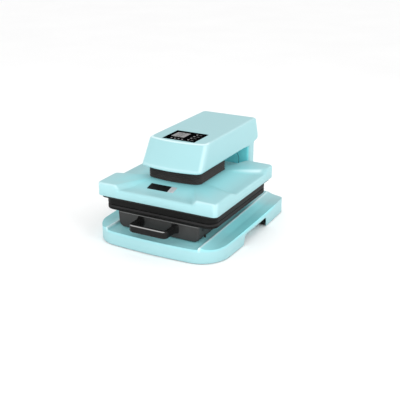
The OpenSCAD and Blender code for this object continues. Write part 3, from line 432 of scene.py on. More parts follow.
baseShape = {
    "halfWidth": 0.214, "front": -0.251, "rear": 0.269, "frontCorner": 0.078, "rearCorner": 0.042,
    "cornerSteps": 18, "longRun": 0.1, "runCuts": 24, "sideBow": 0.006, "frontBow": 0.013, "deck": 0.046,
    "rim": 0.0505, "crest": 0.053, "rearLip": 0.0525, "skirt": 0.002, "wall": 0.003,
    "deckLine": ((0.1595, -0.265), (0.1465, 0.263)), "crestSlope": (-0.0046, 0.0003), "crestWidth": 0.003,
    "dishRadius": 0.075, "dishMiddle": (0.03494, 0.11936), "rimFall": (0.009, 0.017), "lipRound": 0.005,
    "rimRound": 0.0062, "rearRise": (0.2530, 0.2612), "wallLine": 0.036, "hem": 0.0008,
    "notch": (-0.074, 0.098), "notchSide": 0.19, "notchRise": 0.031, "notchRun": (0.013, 0.009),
    "notchCurve": (1.7, 4.0), "tubeHole": (0.0582, 0.2118, 0.2422), "tubeHoleAbove": 0.03,
    "rings": (0.0003, 0.001, 0.002, 0.0032, 0.0046, 0.0062, 0.008, 0.0102, 0.0126, 0.0152, 0.018),
    "deckCuts": (-0.0054, -0.0046, -0.0038, -0.003, -0.0022, -0.0014, -0.0006, 0.0003, 0.0012, 0.0022, 0.003,
                 0.0042, 0.006, 0.009, 0.0125, 0.017, 0.022, 0.028, 0.034),
    "crossCuts": (-0.24, 0.03, 16),  # first, step and count
    "notchCuts": (-0.074, -0.0734, -0.0725, -0.0712, -0.0695, -0.0675, -0.0653, -0.063, -0.061,
                  0.089, 0.0912, 0.093, 0.0945, 0.0957, 0.0967, 0.0975, 0.098)}
# painted highlights on the crests and rim, painted shade on the deck and troughs
baseTone = {
    "crestLine": (0.0010, 0.0062), "crestStart": (0.004, 0.012), "rimLine": (0.0046, 0.0070), "rimShare": 0.70,
    "deckSide": (-0.005, -0.001), "covered": (0.13, 0.21),
    "troughShare": (0.34, 0.66), "troughRun": (-0.20, -0.04), "troughStart": (0.012, 0.018),
    "deckShare": (0.26, 0.48), "deckRun": (-0.25, -0.19), "deckStart": (0.010, 0.018)}


def deckOffset(x, y):
    (frontX, frontY), (rearX, rearY) = baseShape["deckLine"]
    return abs(x) - between(frontX, rearX, (y - frontY) / (rearY - frontY))


def baseHeight(x, y, fromEdge):
    aside = deckOffset(x, y)
    deck = between(baseShape["deck"], baseShape["rearLip"], blendStep(*baseShape["rearRise"], y))
    dish = baseShape["crest"]
    past = aside - baseShape["crestWidth"]
    if past > 0.0:
        middle, height = baseShape["dishMiddle"]
        dish = height - math.sqrt(max(0.0, baseShape["dishRadius"] ** 2 - (past - middle) ** 2))
    wing = between(baseShape["rim"], dish, blendStep(*baseShape["rimFall"], fromEdge))
    onWing = blendStep(*baseShape["crestSlope"], aside)
    radius = between(baseShape["lipRound"], baseShape["rimRound"], onWing)
    return between(deck, wing, onWing) - roundDrop(radius, fromEdge)


def baseHighlight(x, y, fromEdge):
    # painted highlight: a pale line on each crest and a band along the rim
    onCrest = bump(deckOffset(x, y), *baseTone["crestLine"]) * blendStep(*baseTone["crestStart"], fromEdge)
    onRim = bump(fromEdge, *baseTone["rimLine"])
    return onCrest + baseTone["rimShare"] * onRim * (1.0 - onCrest)


def baseShade(x, y, fromEdge):  # painted shade: deck and troughs lie in the shade of the platens
    onDeck = 1.0 - blendStep(*baseTone["deckSide"], deckOffset(x, y))
    covered = 1.0 - blendStep(*baseTone["covered"], y)
    shares = []
    for part in ("trough", "deck"):
        share = between(*baseTone[part + "Share"], blendStep(*baseTone[part + "Run"], y))
        shares.append(share * blendStep(*baseTone[part + "Start"], fromEdge))
    return covered * between(*shares, onDeck)


def skirtFoot(x, y):  # lower edge of the wall, raised in the lifting notches
    start, end = baseShape["notch"]
    foot = baseShape["skirt"]
    if abs(x) < baseShape["notchSide"] or y <= start or y >= end:
        return foot
    rises = []
    for away, run, curve in zip((y - start, end - y), baseShape["notchRun"], baseShape["notchCurve"]):
        rises.append(1.0 - (1.0 - min(1.0, away / run)) ** curve)
    return foot + baseShape["notchRise"] * min(rises)


def makeBase():
    bm = bmesh.new()
    half, front, rear = pick(baseShape, "halfWidth front rear")
    radii = (baseShape["frontCorner"],) * 2 + (baseShape["rearCorner"],) * 2
    roundedFace(bm, -half, half, front, rear, radii, baseShape["cornerSteps"])
    inner = splitLong(bm, baseShape["longRun"], baseShape["runCuts"])
    middle, reach = (front + rear) / 2.0, (rear - front) / 2.0
    for vert in bm.verts:
        across, along = vert.co.x / half, (vert.co.y - middle) / reach
        vert.co.x += baseShape["sideBow"] * across * (1.0 - along * along)
        vert.co.y += min(along, 0.0) * baseShape["frontBow"] * (1.0 - across * across)
    fromEdge = bm.verts.layers.float.new("fromEdge")
    reached = 0.0
    for ring in baseShape["rings"]:
        bmesh.ops.inset_region(bm, faces=[inner], thickness=ring - reached, use_even_offset=True)
        reached = ring
        for vert in inner.verts:
            vert[fromEdge] = ring
    (frontX, frontY), (rearX, rearY) = baseShape["deckLine"]
    lean = Vector((rearY - frontY, frontX - rearX, 0.0)).normalized()
    holeX, holeFront, holeRear = baseShape["tubeHole"]
    for side in (-1.0, 1.0):
        for aside in baseShape["deckCuts"]:
            cutLine(bm, (side * (frontX + aside), frontY, 0.0), (side * lean.x, lean.y, 0.0))
        cutAt(bm, "x", [side * holeX])
    first, step, count = baseShape["crossCuts"]
    crossCuts = [first + step * index for index in range(count)]
    cutAt(bm, "y", [*crossCuts, *baseShape["notchCuts"], holeFront, holeRear])
    for vert in bm.verts:
        vert.co.z = baseHeight(vert.co.x, vert.co.y, vert[fromEdge])
    highlightLayer = markShare(bm, "paintedHighlight", lambda vert: baseHighlight(vert.co.x, vert.co.y, vert[fromEdge]))
    shadeLayer = markShare(bm, "paintedShade", lambda vert: baseShade(vert.co.x, vert.co.y, vert[fromEdge]))
    rim = border(bm)
    for row in range(3):  # upper wall, lower wall and a turned-in hem
        rim, fresh = growRim(bm, rim)
        for vert in fresh:
            foot = skirtFoot(vert.co.x, vert.co.y)
            vert[highlightLayer] = vert[shadeLayer] = 0.0
            if row == 2:
                inward = Vector((-vert.co.x, middle - vert.co.y, 0.0)).normalized()
                vert.co += inward * baseShape["hem"]
            vert.co.z = (baseShape["wallLine"], foot + baseShape["hem"], foot)[row]
    dropFaces(bm, lambda spot: abs(spot.x) < holeX and holeFront < spot.y < holeRear
              and spot.z > baseShape["tubeHoleAbove"])
    addPiece(bm, "base_casing", skyBlueShell, "frame", ["base_shell"], wall=baseShape["wall"], flats=False)


makeBase()
print("base made")


# platen cover: a soft block with four shallow valleys that level out towards its edges

coverShape = {
    "half": 0.205, "middleY": -0.028, "corner": 0.016, "bottom": 0.145, "top": 0.189, "plateau": 0.090,
    "floorFall": 0.0150, "fallRun": 0.092, "crown": 0.0028, "neck": 0.068, "neckSpread": 0.011, "edgeRound": 0.007,
    "frontMouth": ((0.1347, 0.0087), (0.1347, 0.0087)), "rearMouth": ((0.100, 0.015), (0.100, 0.015)),
    "sideMouth": ((0.0865, 0.028), (0.148, 0.013)),
    "cell": 0.0029, "hem": 0.0012, "wall": 0.003, "ramHole": (0.070, 0.022), "ramHoleDepth": 0.001,
    "rings": (0.0, 0.00024, 0.00094, 0.00205, 0.0035, 0.00519, 0.007)}
# painted highlights on the side valleys' rear walls and the top edges, painted shade towards the bellows
coverTone = {
    "wallShift": 0.002, "wallReach": 0.008, "wallOutside": (0.10, 0.18), "wallInside": (0.010, 0.022),
    "wallShare": 0.75, "edgeLine": (0.0030, 0.0045), "edgeAbove": (0.170, 0.184), "edgeFront": (-0.198, -0.180),
    "edgeShare": 0.40, "shadeTintShare": (0.40, 0.03), "shadeTintRun": (0.10, 0.20)}


def valleyDrop(along, aside, mouth):  # along runs outwards from the middle, aside runs across the valley
    past = along - coverShape["plateau"]
    depth = coverShape["floorFall"] * blendStep(0.0, coverShape["fallRun"], past)
    share = past / (coverShape["half"] - coverShape["plateau"])
    endWidth, endSpread = mouth[0] if aside < 0.0 else mouth[1]  # each wall's place and softness at the edge
    width = between(coverShape["neck"], endWidth, share)
    spread = between(coverShape["neckSpread"], endSpread, min(1.0, max(0.0, share)))
    return depth * blendStep(-spread, spread, width - abs(aside))


def coverHeight(x, y, fromEdge):
    front, rear, side = pick(coverShape, "frontMouth rearMouth sideMouth")
    runs = ((-y, x, front), (y, x, rear), (x, y, side), (-x, y, side))
    crown = coverShape["crown"] * (x * x + y * y) / (2.0 * coverShape["half"] ** 2)
    height = coverShape["top"] - crown - sum(valleyDrop(*run) for run in runs)
    return height - roundDrop(coverShape["edgeRound"], fromEdge)


def coverHighlight(x, y, z, fromEdge):
    # painted highlight: a bright band on each side valley's rear wall and along the upper edges off the front
    share = (abs(x) - coverShape["plateau"]) / (coverShape["half"] - coverShape["plateau"])
    wallY = between(coverShape["neck"], coverShape["sideMouth"][1][0], share)
    onWall = bump(y, wallY + coverTone["wallShift"], coverTone["wallReach"])
    onWall *= blendStep(*coverTone["wallOutside"], abs(x)) * blendStep(*coverTone["wallInside"], fromEdge)
    onEdge = bump(fromEdge, *coverTone["edgeLine"]) * blendStep(*coverTone["edgeAbove"], z)
    onEdge *= 1.0 - blendStep(*coverTone["edgeFront"], y)
    return max(coverTone["wallShare"] * onWall, coverTone["edgeShare"] * onEdge)


def coverShade(x, y):  # painted shade: deeper tone towards the bellows
    return between(*coverTone["shadeTintShare"], blendStep(*coverTone["shadeTintRun"], max(abs(x), abs(y))))


def gridLines():  # even cells inside, closer lines over the rounded edge
    edge = [coverShape["half"] - ring for ring in coverShape["rings"]]
    inside = edge[-1]
    count = int(2.0 * inside / coverShape["cell"])
    middle = [between(-inside, inside, step / count) for step in range(count + 1)]
    return [-line for line in edge[:-1]] + middle + edge[:-1][::-1]


def edgeGap(x, y):
    return coverShape["half"] - max(abs(x), abs(y))


def makeCover():
    bm = bmesh.new()
    lines = gridLines()
    count = len(lines) - 1
    bmesh.ops.create_grid(bm, x_segments=count, y_segments=count, size=1.0)
    reach = max(vert.co.x for vert in bm.verts)
    half, corner, bottom, hem = pick(coverShape, "half corner bottom hem")
    start = half - corner
    for vert in bm.verts:
        x, y = (lines[round((value / reach + 1.0) * 0.5 * count)] for value in (vert.co.x, vert.co.y))
        fromEdge = edgeGap(x, y)
        if abs(x) > start and abs(y) > start:  # bends the grid's square corner onto a round
            across, along = (abs(x) - start) / corner, (abs(y) - start) / corner
            roundX = across * math.sqrt(1.0 - along * along / 2.0)
            roundY = along * math.sqrt(1.0 - across * across / 2.0)
            fromEdge = max(0.0, corner * (1.0 - math.hypot(roundX, roundY)))
            x = math.copysign(start + corner * roundX, x)
            y = math.copysign(start + corner * roundY, y)
        vert.co = (x, y, coverHeight(x, y, fromEdge))
    highlightLayer = markShare(bm, "paintedHighlight", lambda vert: coverHighlight(*vert.co, edgeGap(vert.co.x, vert.co.y)))
    shadeLayer = markShare(bm, "paintedShade", lambda vert: coverShade(vert.co.x, vert.co.y))
    rim = border(bm)
    for inset, height in ((0.0, bottom + hem), (hem, bottom)):
        rim, fresh = growRim(bm, rim)
        for vert in fresh:
            vert.co.x *= 1.0 - inset / half
            vert.co.y *= 1.0 - inset / half
            vert.co.z = height
            vert[highlightLayer] = vert[shadeLayer] = 0.0
    holeX, holeY = coverShape["ramHole"]
    holeFloor = coverShape["top"] - coverShape["ramHoleDepth"]
    dropFaces(bm, lambda spot: abs(spot.x) < holeX and abs(spot.y) < holeY and spot.z > holeFloor)
    bmesh.ops.translate(bm, verts=bm.verts[:], vec=(0.0, coverShape["middleY"], 0.0))
    addPiece(bm, "platen_hood", skyBlueShell, "platen", ["platen_cover"], wall=coverShape["wall"],
             flats=False)


makeCover()
print("platen cover made")


# platens, tray and pad, all square plates about the same middle

plateShape = {
    "middleY": -0.028, "half": 0.190, "corner": 0.030, "trayHalf": 0.198, "trayCorner": 0.018, "cornerSteps": 12,
    "trayRows": ((0.141, 0.0066), (0.1380, 0.0066), (0.1372, 0.0058), (0.1372, 0.0012), (0.1377, 0.0004),
                 (0.1384, 0.0), (0.1438, 0.0), (0.1447, 0.0004), (0.145, 0.0012)),
    "heatEdges": (0.115, 0.141, 0.0040, 0.0012), "heaterPocket": [(0.141, 0.022), (0.129, 0.022)],
    "lowerEdges": (0.099, 0.106, 0.0030, 0.0012), "padEdges": (0.106, 0.114, 0.0020, 0.0030)}


def squarePlan(half):
    return (-half, half, plateShape["middleY"] - half, plateShape["middleY"] + half)


def makePlatens():
    plan, corners = squarePlan(plateShape["half"]), (plateShape["corner"],) * 4
    trayPlan, trayCorners = squarePlan(plateShape["trayHalf"]), (plateShape["trayCorner"],) * 4
    steps = plateShape["cornerSteps"]
    slab("tray_sheet", trayBlack, "platen", ["platen_tray"], trayPlan, trayCorners,
         plateShape["trayRows"], steps)
    heatRows = edgeRows(*plateShape["heatEdges"]) + plateShape["heaterPocket"]
    slab("heat_block", platenBlack, "platen", ["heat_platen"], plan, corners, heatRows, steps)
    slab("lower_block", platenBlack, "drawer", ["lower_platen"], plan, corners,
         edgeRows(*plateShape["lowerEdges"]), steps)
    pad = slab("press_pad", padSilicone, "drawer", ["silicone_pad"], plan, corners,
               edgeRows(*plateShape["padEdges"]), steps)


makePlatens()
print("platens made")


# drawer: folded sheet with a rolled front, its lip, two buffers and the handle

drawerShape = {
    "half": 0.140, "bottom": 0.048, "top": 0.099, "front": -0.215, "rear": 0.125, "lowCorner": 0.018,
    "frontRoll": 0.004, "sheet": 0.002, "openHalf": 0.118, "frontLip": 0.012, "skin": 0.0004,
    "lipCorner": 0.006, "lipOpen": 0.003,
    "lip": ((0.0950, 0.0006), (0.0952, -0.0004), (0.0957, -0.0011), (0.0965, -0.0014), (0.0973, -0.0011),
            (0.0978, -0.0004), (0.0980, 0.0006))}
bufferShape = {"spot": (0.140, -0.178, 0.057), "radius": 0.0042, "proud": 0.0032, "sunk": 0.0010,
               "cornerShare": 0.98, "rollShare": 0.4}
handleShape = {
    "width": 0.133, "tip": -0.280, "bar": 0.014, "low": 0.0672, "high": 0.0912, "round": 0.0048, "corner": 0.017,
    "cornerSteps": 10, "flare": 0.0055, "flareRun": 0.018, "flareUp": 0.35, "flareSteps": 4,
    "highlightDown": 0.0014, "highlightBack": 0.0030, "highlightReach": 0.0016, "highlightFade": 0.003}


def makeDrawer():
    bm = bmesh.new()
    front, rear, half, bottom, top, skin, openHalf = pick(drawerShape, "front rear half bottom top skin openHalf")
    lipEnd = front + drawerShape["frontLip"]
    face = roundedFace(bm, -half, half, bottom, top, (drawerShape["lowCorner"],) * 2 + (0.0, 0.0), segments=10)
    rows = rollRows(drawerShape["frontRoll"], 5, front, 1.0) + [(rear, 0.0)]
    loft(bm, face, rows, uprightPoint)
    cutAt(bm, "y", (lipEnd, rear - drawerShape["frontLip"]))
    cutAt(bm, "x", (-openHalf, openHalf))
    dropFaces(bm, lambda spot: spot.z > top - skin or spot.y > rear - skin)  # open above and behind
    dropFaces(bm, lambda spot: spot.z < bottom + skin and abs(spot.x) < openHalf and spot.y > lipEnd)
    addPiece(bm, "drawer_sheet", drawerCoat, "drawer", ["drawer_box"], wall=drawerShape["sheet"])


def makeLip():  # rolled lip along the drawer's upper edge, in a lighter grey than the drawer as a painted highlight
    bm = bmesh.new()
    front, rear, half = pick(drawerShape, "front rear half")
    face = roundedFace(bm, -half, half, front, rear, (drawerShape["lipCorner"],) * 2 + (0.0, 0.0))
    openLoft(bm, face, drawerShape["lip"])
    openX, openY = half - drawerShape["lipOpen"], rear - drawerShape["lipOpen"]
    dropFaces(bm, lambda spot: spot.y > openY and abs(spot.x) < openX)
    addPiece(bm, "drawer_lip", lipHighlightGrey, "drawer", wall=drawerShape["sheet"])


def makeBuffers():  # small stops on the drawer's sides
    radius, (x, y, z) = bufferShape["radius"], bufferShape["spot"]
    rows = [(-bufferShape["sunk"], 0.0)]
    rows += rollRows(radius * bufferShape["rollShare"], 4, bufferShape["proud"], -1.0)[::-1]
    for name, side in (("buffer_left", -1.0), ("buffer_right", 1.0)):
        bm = bmesh.new()
        corners = (radius * bufferShape["cornerShare"],) * 4
        loft(bm, roundedFace(bm, -radius, radius, -radius, radius, corners, segments=6), rows)
        turn = Matrix.Rotation(side * math.pi / 2.0, 3, "Y")
        bmesh.ops.rotate(bm, verts=bm.verts[:], cent=(0, 0, 0), matrix=turn)
        bmesh.ops.translate(bm, verts=bm.verts[:], vec=(side * x, y, z))
        addPiece(bm, name, footRubber, "drawer")


def makeHandle():
    bm = bmesh.new()
    low, high, bar, tip, run, steps = pick(handleShape, "low high bar tip flareRun flareSteps")
    half, panelY = handleShape["width"] / 2.0, drawerShape["front"]
    startFace = roundedFace(bm, half - bar, half, low, high, (handleShape["round"],) * 4, segments=6)
    for vert in bm.verts:
        vert.co = (vert.co.x, panelY, vert.co.y)
    middleX, middleZ = half - bar / 2.0, (low + high) / 2.0
    turn = handleShape["corner"] - bar / 2.0
    turnX, turnY = middleX - turn, tip + bar / 2.0 + turn

    def drawOut(section, x, y):
        grown = bmesh.ops.extrude_face_region(bm, geom=[section])
        end = only(bmesh.types.BMFace, grown["geom"])[0]
        bmesh.ops.translate(bm, verts=end.verts[:], vec=(x, y, 0.0))
        if section.is_valid and section is not startFace:
            bm.faces.remove(section)
        return end

    def swing(section, x):
        bent = bmesh.ops.spin(bm, geom=[section] + section.edges[:] + section.verts[:], cent=(x, turnY, middleZ),
                              axis=(0.0, 0.0, 1.0), dvec=(0.0, 0.0, 0.0), angle=-math.pi / 2.0,
                              steps=handleShape["cornerSteps"])
        if section.is_valid:
            bm.faces.remove(section)
        return only(bmesh.types.BMFace, bent["geom_last"])[0]

    face = startFace
    for step in range(steps):
        face = drawOut(face, 0.0, -run / steps)
    face = drawOut(face, 0.0, turnY - (panelY - run))
    face = swing(face, turnX)
    face = drawOut(face, -2.0 * turnX, 0.0)
    face = swing(face, -turnX)
    face = drawOut(face, 0.0, panelY - run - turnY)
    for step in range(steps):
        face = drawOut(face, 0.0, run / steps)
    for vert in bm.verts:  # legs widen where they meet the panel
        away = (panelY - vert.co.y) / run
        if away < 1.0:
            grow = 1.0 + handleShape["flare"] / (bar / 2.0) * (1.0 - away) ** 2
            legX = math.copysign(middleX, vert.co.x)
            vert.co.x = legX + (vert.co.x - legX) * grow
            vert.co.z = middleZ + (vert.co.z - middleZ) * (1.0 + handleShape["flareUp"] * (grow - 1.0))
    # painted highlight: a pale band along the bar's top front edge
    highlightZ, highlightY = high - handleShape["highlightDown"], tip + handleShape["highlightBack"]
    markShare(bm, "paintedHighlight", lambda vert: bump(vert.co.z, highlightZ, handleShape["highlightReach"])
              * (1.0 - blendStep(0.0, handleShape["highlightFade"], vert.co.y - highlightY)))
    addPiece(bm, "pull_handle", handleBlack, "drawer", ["drawer_handle"], flats=False)


makeDrawer()
makeLip()
makeBuffers()
makeHandle()
print("drawer and handle made")


# column with its arched panel and the openings in its back

columnShape = {
    "half": 0.1034, "front": 0.206, "rear": 0.249, "bottom": 0.046, "top": 0.232, "corner": 0.010, "wall": 0.003,
    "holes": ((0.0, 0.040, 0.082, 0.188), (0.079, 0.0102, 0.0763, 0.1037), (-0.079, 0.0092, 0.0763, 0.1037)),
    "holeDepth": 0.001, "shadeShare": 0.4}
archShape = {
    "half": 0.064, "bottom": 0.046, "top": 0.206, "corner": 0.030, "cornerSteps": 14, "proud": 0.0015,
    "edge": ((0.99, 0.0008), (0.85, 0.0003), (0.6, 0.0), (0.0, 0.0)),  # share of proud, and inset
    "seam": 0.0026, "seamAhead": 0.0003, "seamBehind": 0.0005}


def makeColumn():
    bm = bmesh.new()
    half, front, rear, corner = pick(columnShape, "half front rear corner")
    face = roundedFace(bm, -half, half, front, rear, (corner,) * 4)
    openLoft(bm, face, [(columnShape["bottom"], 0.0), (columnShape["top"], 0.0)])
    for x, halfX, low, high in columnShape["holes"]:  # vents, inlet and switch
        cutAt(bm, "x", (x - halfX, x + halfX))
        cutAt(bm, "z", (low, high))
    holeStart = rear - columnShape["holeDepth"]
    for x, halfX, low, high in columnShape["holes"]:
        dropFaces(bm, lambda spot: abs(spot.x - x) < halfX and low < spot.z < high and spot.y > holeStart)
    # painted shade: the column front under the head takes the recess tint, fading out part way round its corners
    shadeEnd = front + columnShape["shadeShare"] * corner
    markShare(bm, "paintedShade", lambda vert: 1.0 - blendStep(front, shadeEnd, vert.co.y))
    addPiece(bm, "column_casing", skyBlueShell, "frame", ["column_cover"], wall=columnShape["wall"])


def makeArch():
    half, bottom, top, corner, steps, wide = pick(archShape, "half bottom top corner cornerSteps seam")
    front = columnShape["front"]
    rows = [(front - archShape["proud"] * share, inset) for share, inset in archShape["edge"]]
    bm = bmesh.new()
    face = roundedFace(bm, -half, half, bottom, top, (0.0, 0.0, corner, corner), steps)
    loft(bm, face, rows, uprightPoint)
    # painted shade: the whole arch panel takes the recess tint
    markShare(bm, "paintedShade", lambda vert: 1.0)
    addPiece(bm, "arch_panel", skyBlueShell, "frame", ["column_panel"])
    # a dark sheet just wider than the panel shows as a thin line round it: painted shade of the groove
    seamPlan = (-half - wide, half + wide, bottom, top + wide)
    seamRows = [(front - archShape["seamAhead"], 0.0), (front + archShape["seamBehind"], 0.0)]
    slab("arch_seam_shade", seamShade, "frame", [], seamPlan, (0.0, 0.0, corner + wide, corner + wide), seamRows,
         steps, uprightPoint)


makeColumn()
makeArch()
print("column made")


# head: the nose outline drawn upwards, leaning back, with rolled edges

headShape = {
    "half": 0.104, "draft": 0.004, "front": -0.1405, "bow": 0.015, "lean": 0.047, "frontCorner": 0.013,
    "rearCorner": 0.009, "longRun": 0.12, "runCuts": 20, "bottom": 0.2285, "top": 0.310, "lowRoll": 0.006,
    "sideRoll": 0.006, "frontRoll": 0.005, "rearRoll": 0.006, "lowSteps": 6, "highSteps": 9, "wall": 0.003,
    "wallRows": [0.262, 0.275, 0.287], "lowRollEnd": (0.16, 0.20), "shiftRun": (-0.11, 0.235), "flat": 0.000001,
    "rearLine": ((0.2285, 0.2495), (0.2330, 0.2497), (0.2350, 0.2640), (0.2366, 0.2735), (0.2385, 0.2775),
                 (0.2415, 0.2795), (0.2450, 0.2800), (0.2518, 0.2800), (0.2560, 0.2793), (0.310, 0.2660))}
# painted highlights along the head's edges
headTone = {
    "band": 0.003, "nose": (-0.125, -0.110), "topDown": 0.0007, "topReach": 0.0032, "lowUp": 0.0085,
    "lowReach": 0.0050, "cornerIn": 0.004, "cornerReach": 0.008, "cornerAbove": (0.232, 0.24),
    "noseTopShare": 0.90, "noseLowShare": 0.25, "cornerShare": 0.40, "topShare": 0.20}
floorShape = {"bottom": 0.2326, "top": 0.2350, "inset": 0.0072, "columnGap": 0.0002,
              "passage": (0.082, -0.112, 0.046)}
glassShape = {"half": 0.056, "front": -0.090, "rear": 0.006, "recess": 0.0022, "gap": 0.0003, "corner": 0.002,
              "edges": (0.3080, 0.3096, 0.0003, 0.0005)}


def rearAt(z):
    line = headShape["rearLine"]
    for (lowZ, lowY), (highZ, highY) in zip(line, line[1:]):
        if z <= highZ:
            return between(lowY, highY, (z - lowZ) / (highZ - lowZ))
    return line[-1][1]


def headRows():  # heights of the rows, with how far the lower and upper edges have rolled in
    low, lowRoll, lowSteps = pick(headShape, "bottom lowRoll lowSteps")
    high, highRoll, highSteps = pick(headShape, "top sideRoll highSteps")
    heights = [z for z, y in headShape["rearLine"][1:-1]] + headShape["wallRows"]
    heights += [low + lowRoll * (1.0 - math.cos(0.5 * math.pi * step / lowSteps)) for step in range(lowSteps + 1)]
    heights += [high - highRoll * (1.0 - math.sin(0.5 * math.pi * step / highSteps)) for step in range(highSteps + 1)]
    rows = []
    for z in sorted(set(round(height, 6) for height in heights)):
        lowAngle = math.acos(max(0.0, 1.0 - (z - low) / lowRoll))
        highAngle = math.asin(max(0.0, min(1.0, 1.0 - (high - z) / highRoll)))
        rows.append((z, 1.0 - math.sin(lowAngle), 1.0 - math.cos(highAngle)))
    return rows


def headPoint(x, y, outX, outY, row):  # place of an outline point on one row of the head
    z, lowShare, highShare = row
    part = (z - headShape["bottom"]) / (headShape["top"] - headShape["bottom"])
    lowRoll = headShape["lowRoll"] * lowShare * (1.0 - blendStep(*headShape["lowRollEnd"], y))
    side = headShape["half"] - headShape["draft"] * part - lowRoll - headShape["sideRoll"] * highShare
    x *= side / headShape["half"]
    frontShift = headShape["lean"] * part + lowRoll + headShape["frontRoll"] * highShare
    rearShift = rearAt(z) - columnShape["rear"] - headShape["rearRoll"] * highShare
    return x, y + between(frontShift, rearShift, blendStep(*headShape["shiftRun"], y)), z


def headOutline(bm):
    return bowedFace(bm, headShape, columnShape["rear"])


def headHighlight(z, planX, planY):
    # painted highlight on the nose's top and lower edges, its upright corners and the top edge
    onNose = 1.0 - blendStep(*headTone["nose"], planY)
    topEdge = bump(z, headShape["top"] - headTone["topDown"], headTone["topReach"])
    lowEdge = bump(z, headShape["bottom"] + headTone["lowUp"], headTone["lowReach"])
    corner = onNose * bump(abs(planX), headShape["half"] - headTone["cornerIn"], headTone["cornerReach"])
    corner *= blendStep(*headTone["cornerAbove"], z)
    nose = onNose * max(headTone["noseTopShare"] * topEdge, headTone["noseLowShare"] * lowEdge)
    return max(nose, headTone["cornerShare"] * corner, headTone["topShare"] * topEdge)


def topFaces(bm):
    flatTop = headShape["top"] - headShape["flat"]
    return [face for face in bm.faces if min(vert.co.z for vert in face.verts) > flatTop]


def sinkWindow(bm):  # recess that takes the display glass
    gap = glassShape["gap"]
    wide, front, rear = glassShape["half"] + gap, glassShape["front"] - gap, glassShape["rear"] + gap
    for axis, place in (("x", -wide), ("x", wide), ("y", front), ("y", rear)):
        cutAt(bm, axis, [place], topFaces(bm))
    window = []
    for face in topFaces(bm):
        spot = face.calc_center_median()
        if abs(spot.x) < wide and front < spot.y < rear:
            window.append(face)
    grown = bmesh.ops.extrude_face_region(bm, geom=window)
    bmesh.ops.delete(bm, geom=[face for face in window if face.is_valid], context="FACES_ONLY")
    sunk = only(bmesh.types.BMVert, grown["geom"])
    bmesh.ops.translate(bm, verts=sunk, vec=(0.0, 0.0, -glassShape["recess"]))


def makeHead():
    bm = bmesh.new()
    bottom, face = loft(bm, headOutline(bm), headRows(), headPoint)
    bmesh.ops.delete(bm, geom=[bottom], context="FACES_ONLY")
    planX, planY = pick(bm.verts.layers.float, "planX planY")
    highlightLayer = markShare(bm, "paintedHighlight", lambda vert: headHighlight(vert.co.z, vert[planX], vert[planY]))
    bmesh.ops.inset_region(bm, faces=[face], thickness=headTone["band"], use_even_offset=True)
    for vert in face.verts:  # the flat top inside the band takes no painted highlight
        vert[highlightLayer] = 0.0
    sinkWindow(bm)
    addPiece(bm, "head_casing", skyBlueShell, "frame", ["head_cover"], wall=headShape["wall"])


def makeUnderside():
    bm = bmesh.new()
    face = headOutline(bm)
    for vert in bm.verts:
        vert.co.y = min(vert.co.y, columnShape["front"] - floorShape["columnGap"])
    loft(bm, face, [(floorShape["bottom"], floorShape["inset"]), (floorShape["top"], floorShape["inset"])])
    wide, front, rear = floorShape["passage"]
    cutAt(bm, "x", (-wide, wide))
    cutAt(bm, "y", (front, rear))
    dropFaces(bm, lambda spot: abs(spot.x) < wide and front < spot.y < rear)
    bmesh.ops.bridge_loops(bm, edges=border(bm))
    addPiece(bm, "head_floor", skyBlueShell, "frame", ["head_underside"])


makeHead()
makeUnderside()
print("head made")


# bellows between the platen cover and the head

bellowsShape = {
    "half": 0.0925, "front": -0.119, "bow": 0.012, "rear": 0.0565, "frontCorner": 0.018, "rearCorner": 0.012,
    "longRun": 0.12, "runCuts": 24, "bottom": 0.189, "top": 0.232, "pleats": 7, "depth": 0.0034,
    "rowsPerPleat": 8, "closed": 0.302}


def makeBellows():
    bm = bmesh.new()
    face = bowedFace(bm, bellowsShape, bellowsShape["rear"])
    bottom, top, pleatRows = pick(bellowsShape, "bottom top rowsPerPleat")
    total = bellowsShape["pleats"] * pleatRows
    rows = []
    for step in range(total + 1):
        wave = math.cos(2.0 * math.pi * step / pleatRows)
        inset = 0.5 * bellowsShape["depth"] * (1.0 + wave)
        rows.append((between(bottom, top, step / total), inset))
    openLoft(bm, face, rows)
    for vert in bm.verts:  # the foot follows the cover where it starts to slope away
        foot = coverHeight(vert.co.x, vert.co.y - coverShape["middleY"], coverShape["half"])
        vert.co.z = top - (top - vert.co.z) * (top - foot) / (top - bottom)
    sleeve = addPiece(bm, "bellows_sleeve", bellowsRubber, "frame", ["bellows"], flats=False)
    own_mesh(sleeve)


makeBellows()
print("bellows made")


# display glass with plain marks, and the bare label plate

markShape = {
    "wall": 0.00006, "thick": 0.0001, "edge": 0.00005, "cornerPart": 2.01,
    "field": ((0.12, 0.52), (0.34, 0.82)), "fieldCorner": 0.001,
    "digitLift": 0.0001, "digitCorner": 0.0001, "digitPitch": 1.7, "count": 4,
    "lines": (("180", 0.60, 0.78, 0.055, 0.155), ("60", 0.38, 0.54, 0.050, 0.255)),
    "lit": {"0": "abcdef", "1": "bc", "6": "acdefg", "8": "abcdefg"},
    "segments": {"a": (0.15, 0.85, 0.92, 1.0), "d": (0.15, 0.85, 0.0, 0.08), "g": (0.15, 0.85, 0.46, 0.54),
                 "b": (0.86, 1.0, 0.52, 0.98), "c": (0.86, 1.0, 0.02, 0.48),
                 "f": (0.0, 0.14, 0.52, 0.98), "e": (0.0, 0.14, 0.02, 0.48)},
    "rows": (("key_mark", (0.20, 0.245), 0.11, (0.13, 0.19), 0.0, 0.001),  # across and its step, deep and its step
             ("side_mark", (0.70, 0.755), 0.0, (0.16, 0.235), 0.20, 0.0012),
             ("side_line", (0.80, 0.885), 0.0, (0.185, 0.205), 0.20, 0.0004))}
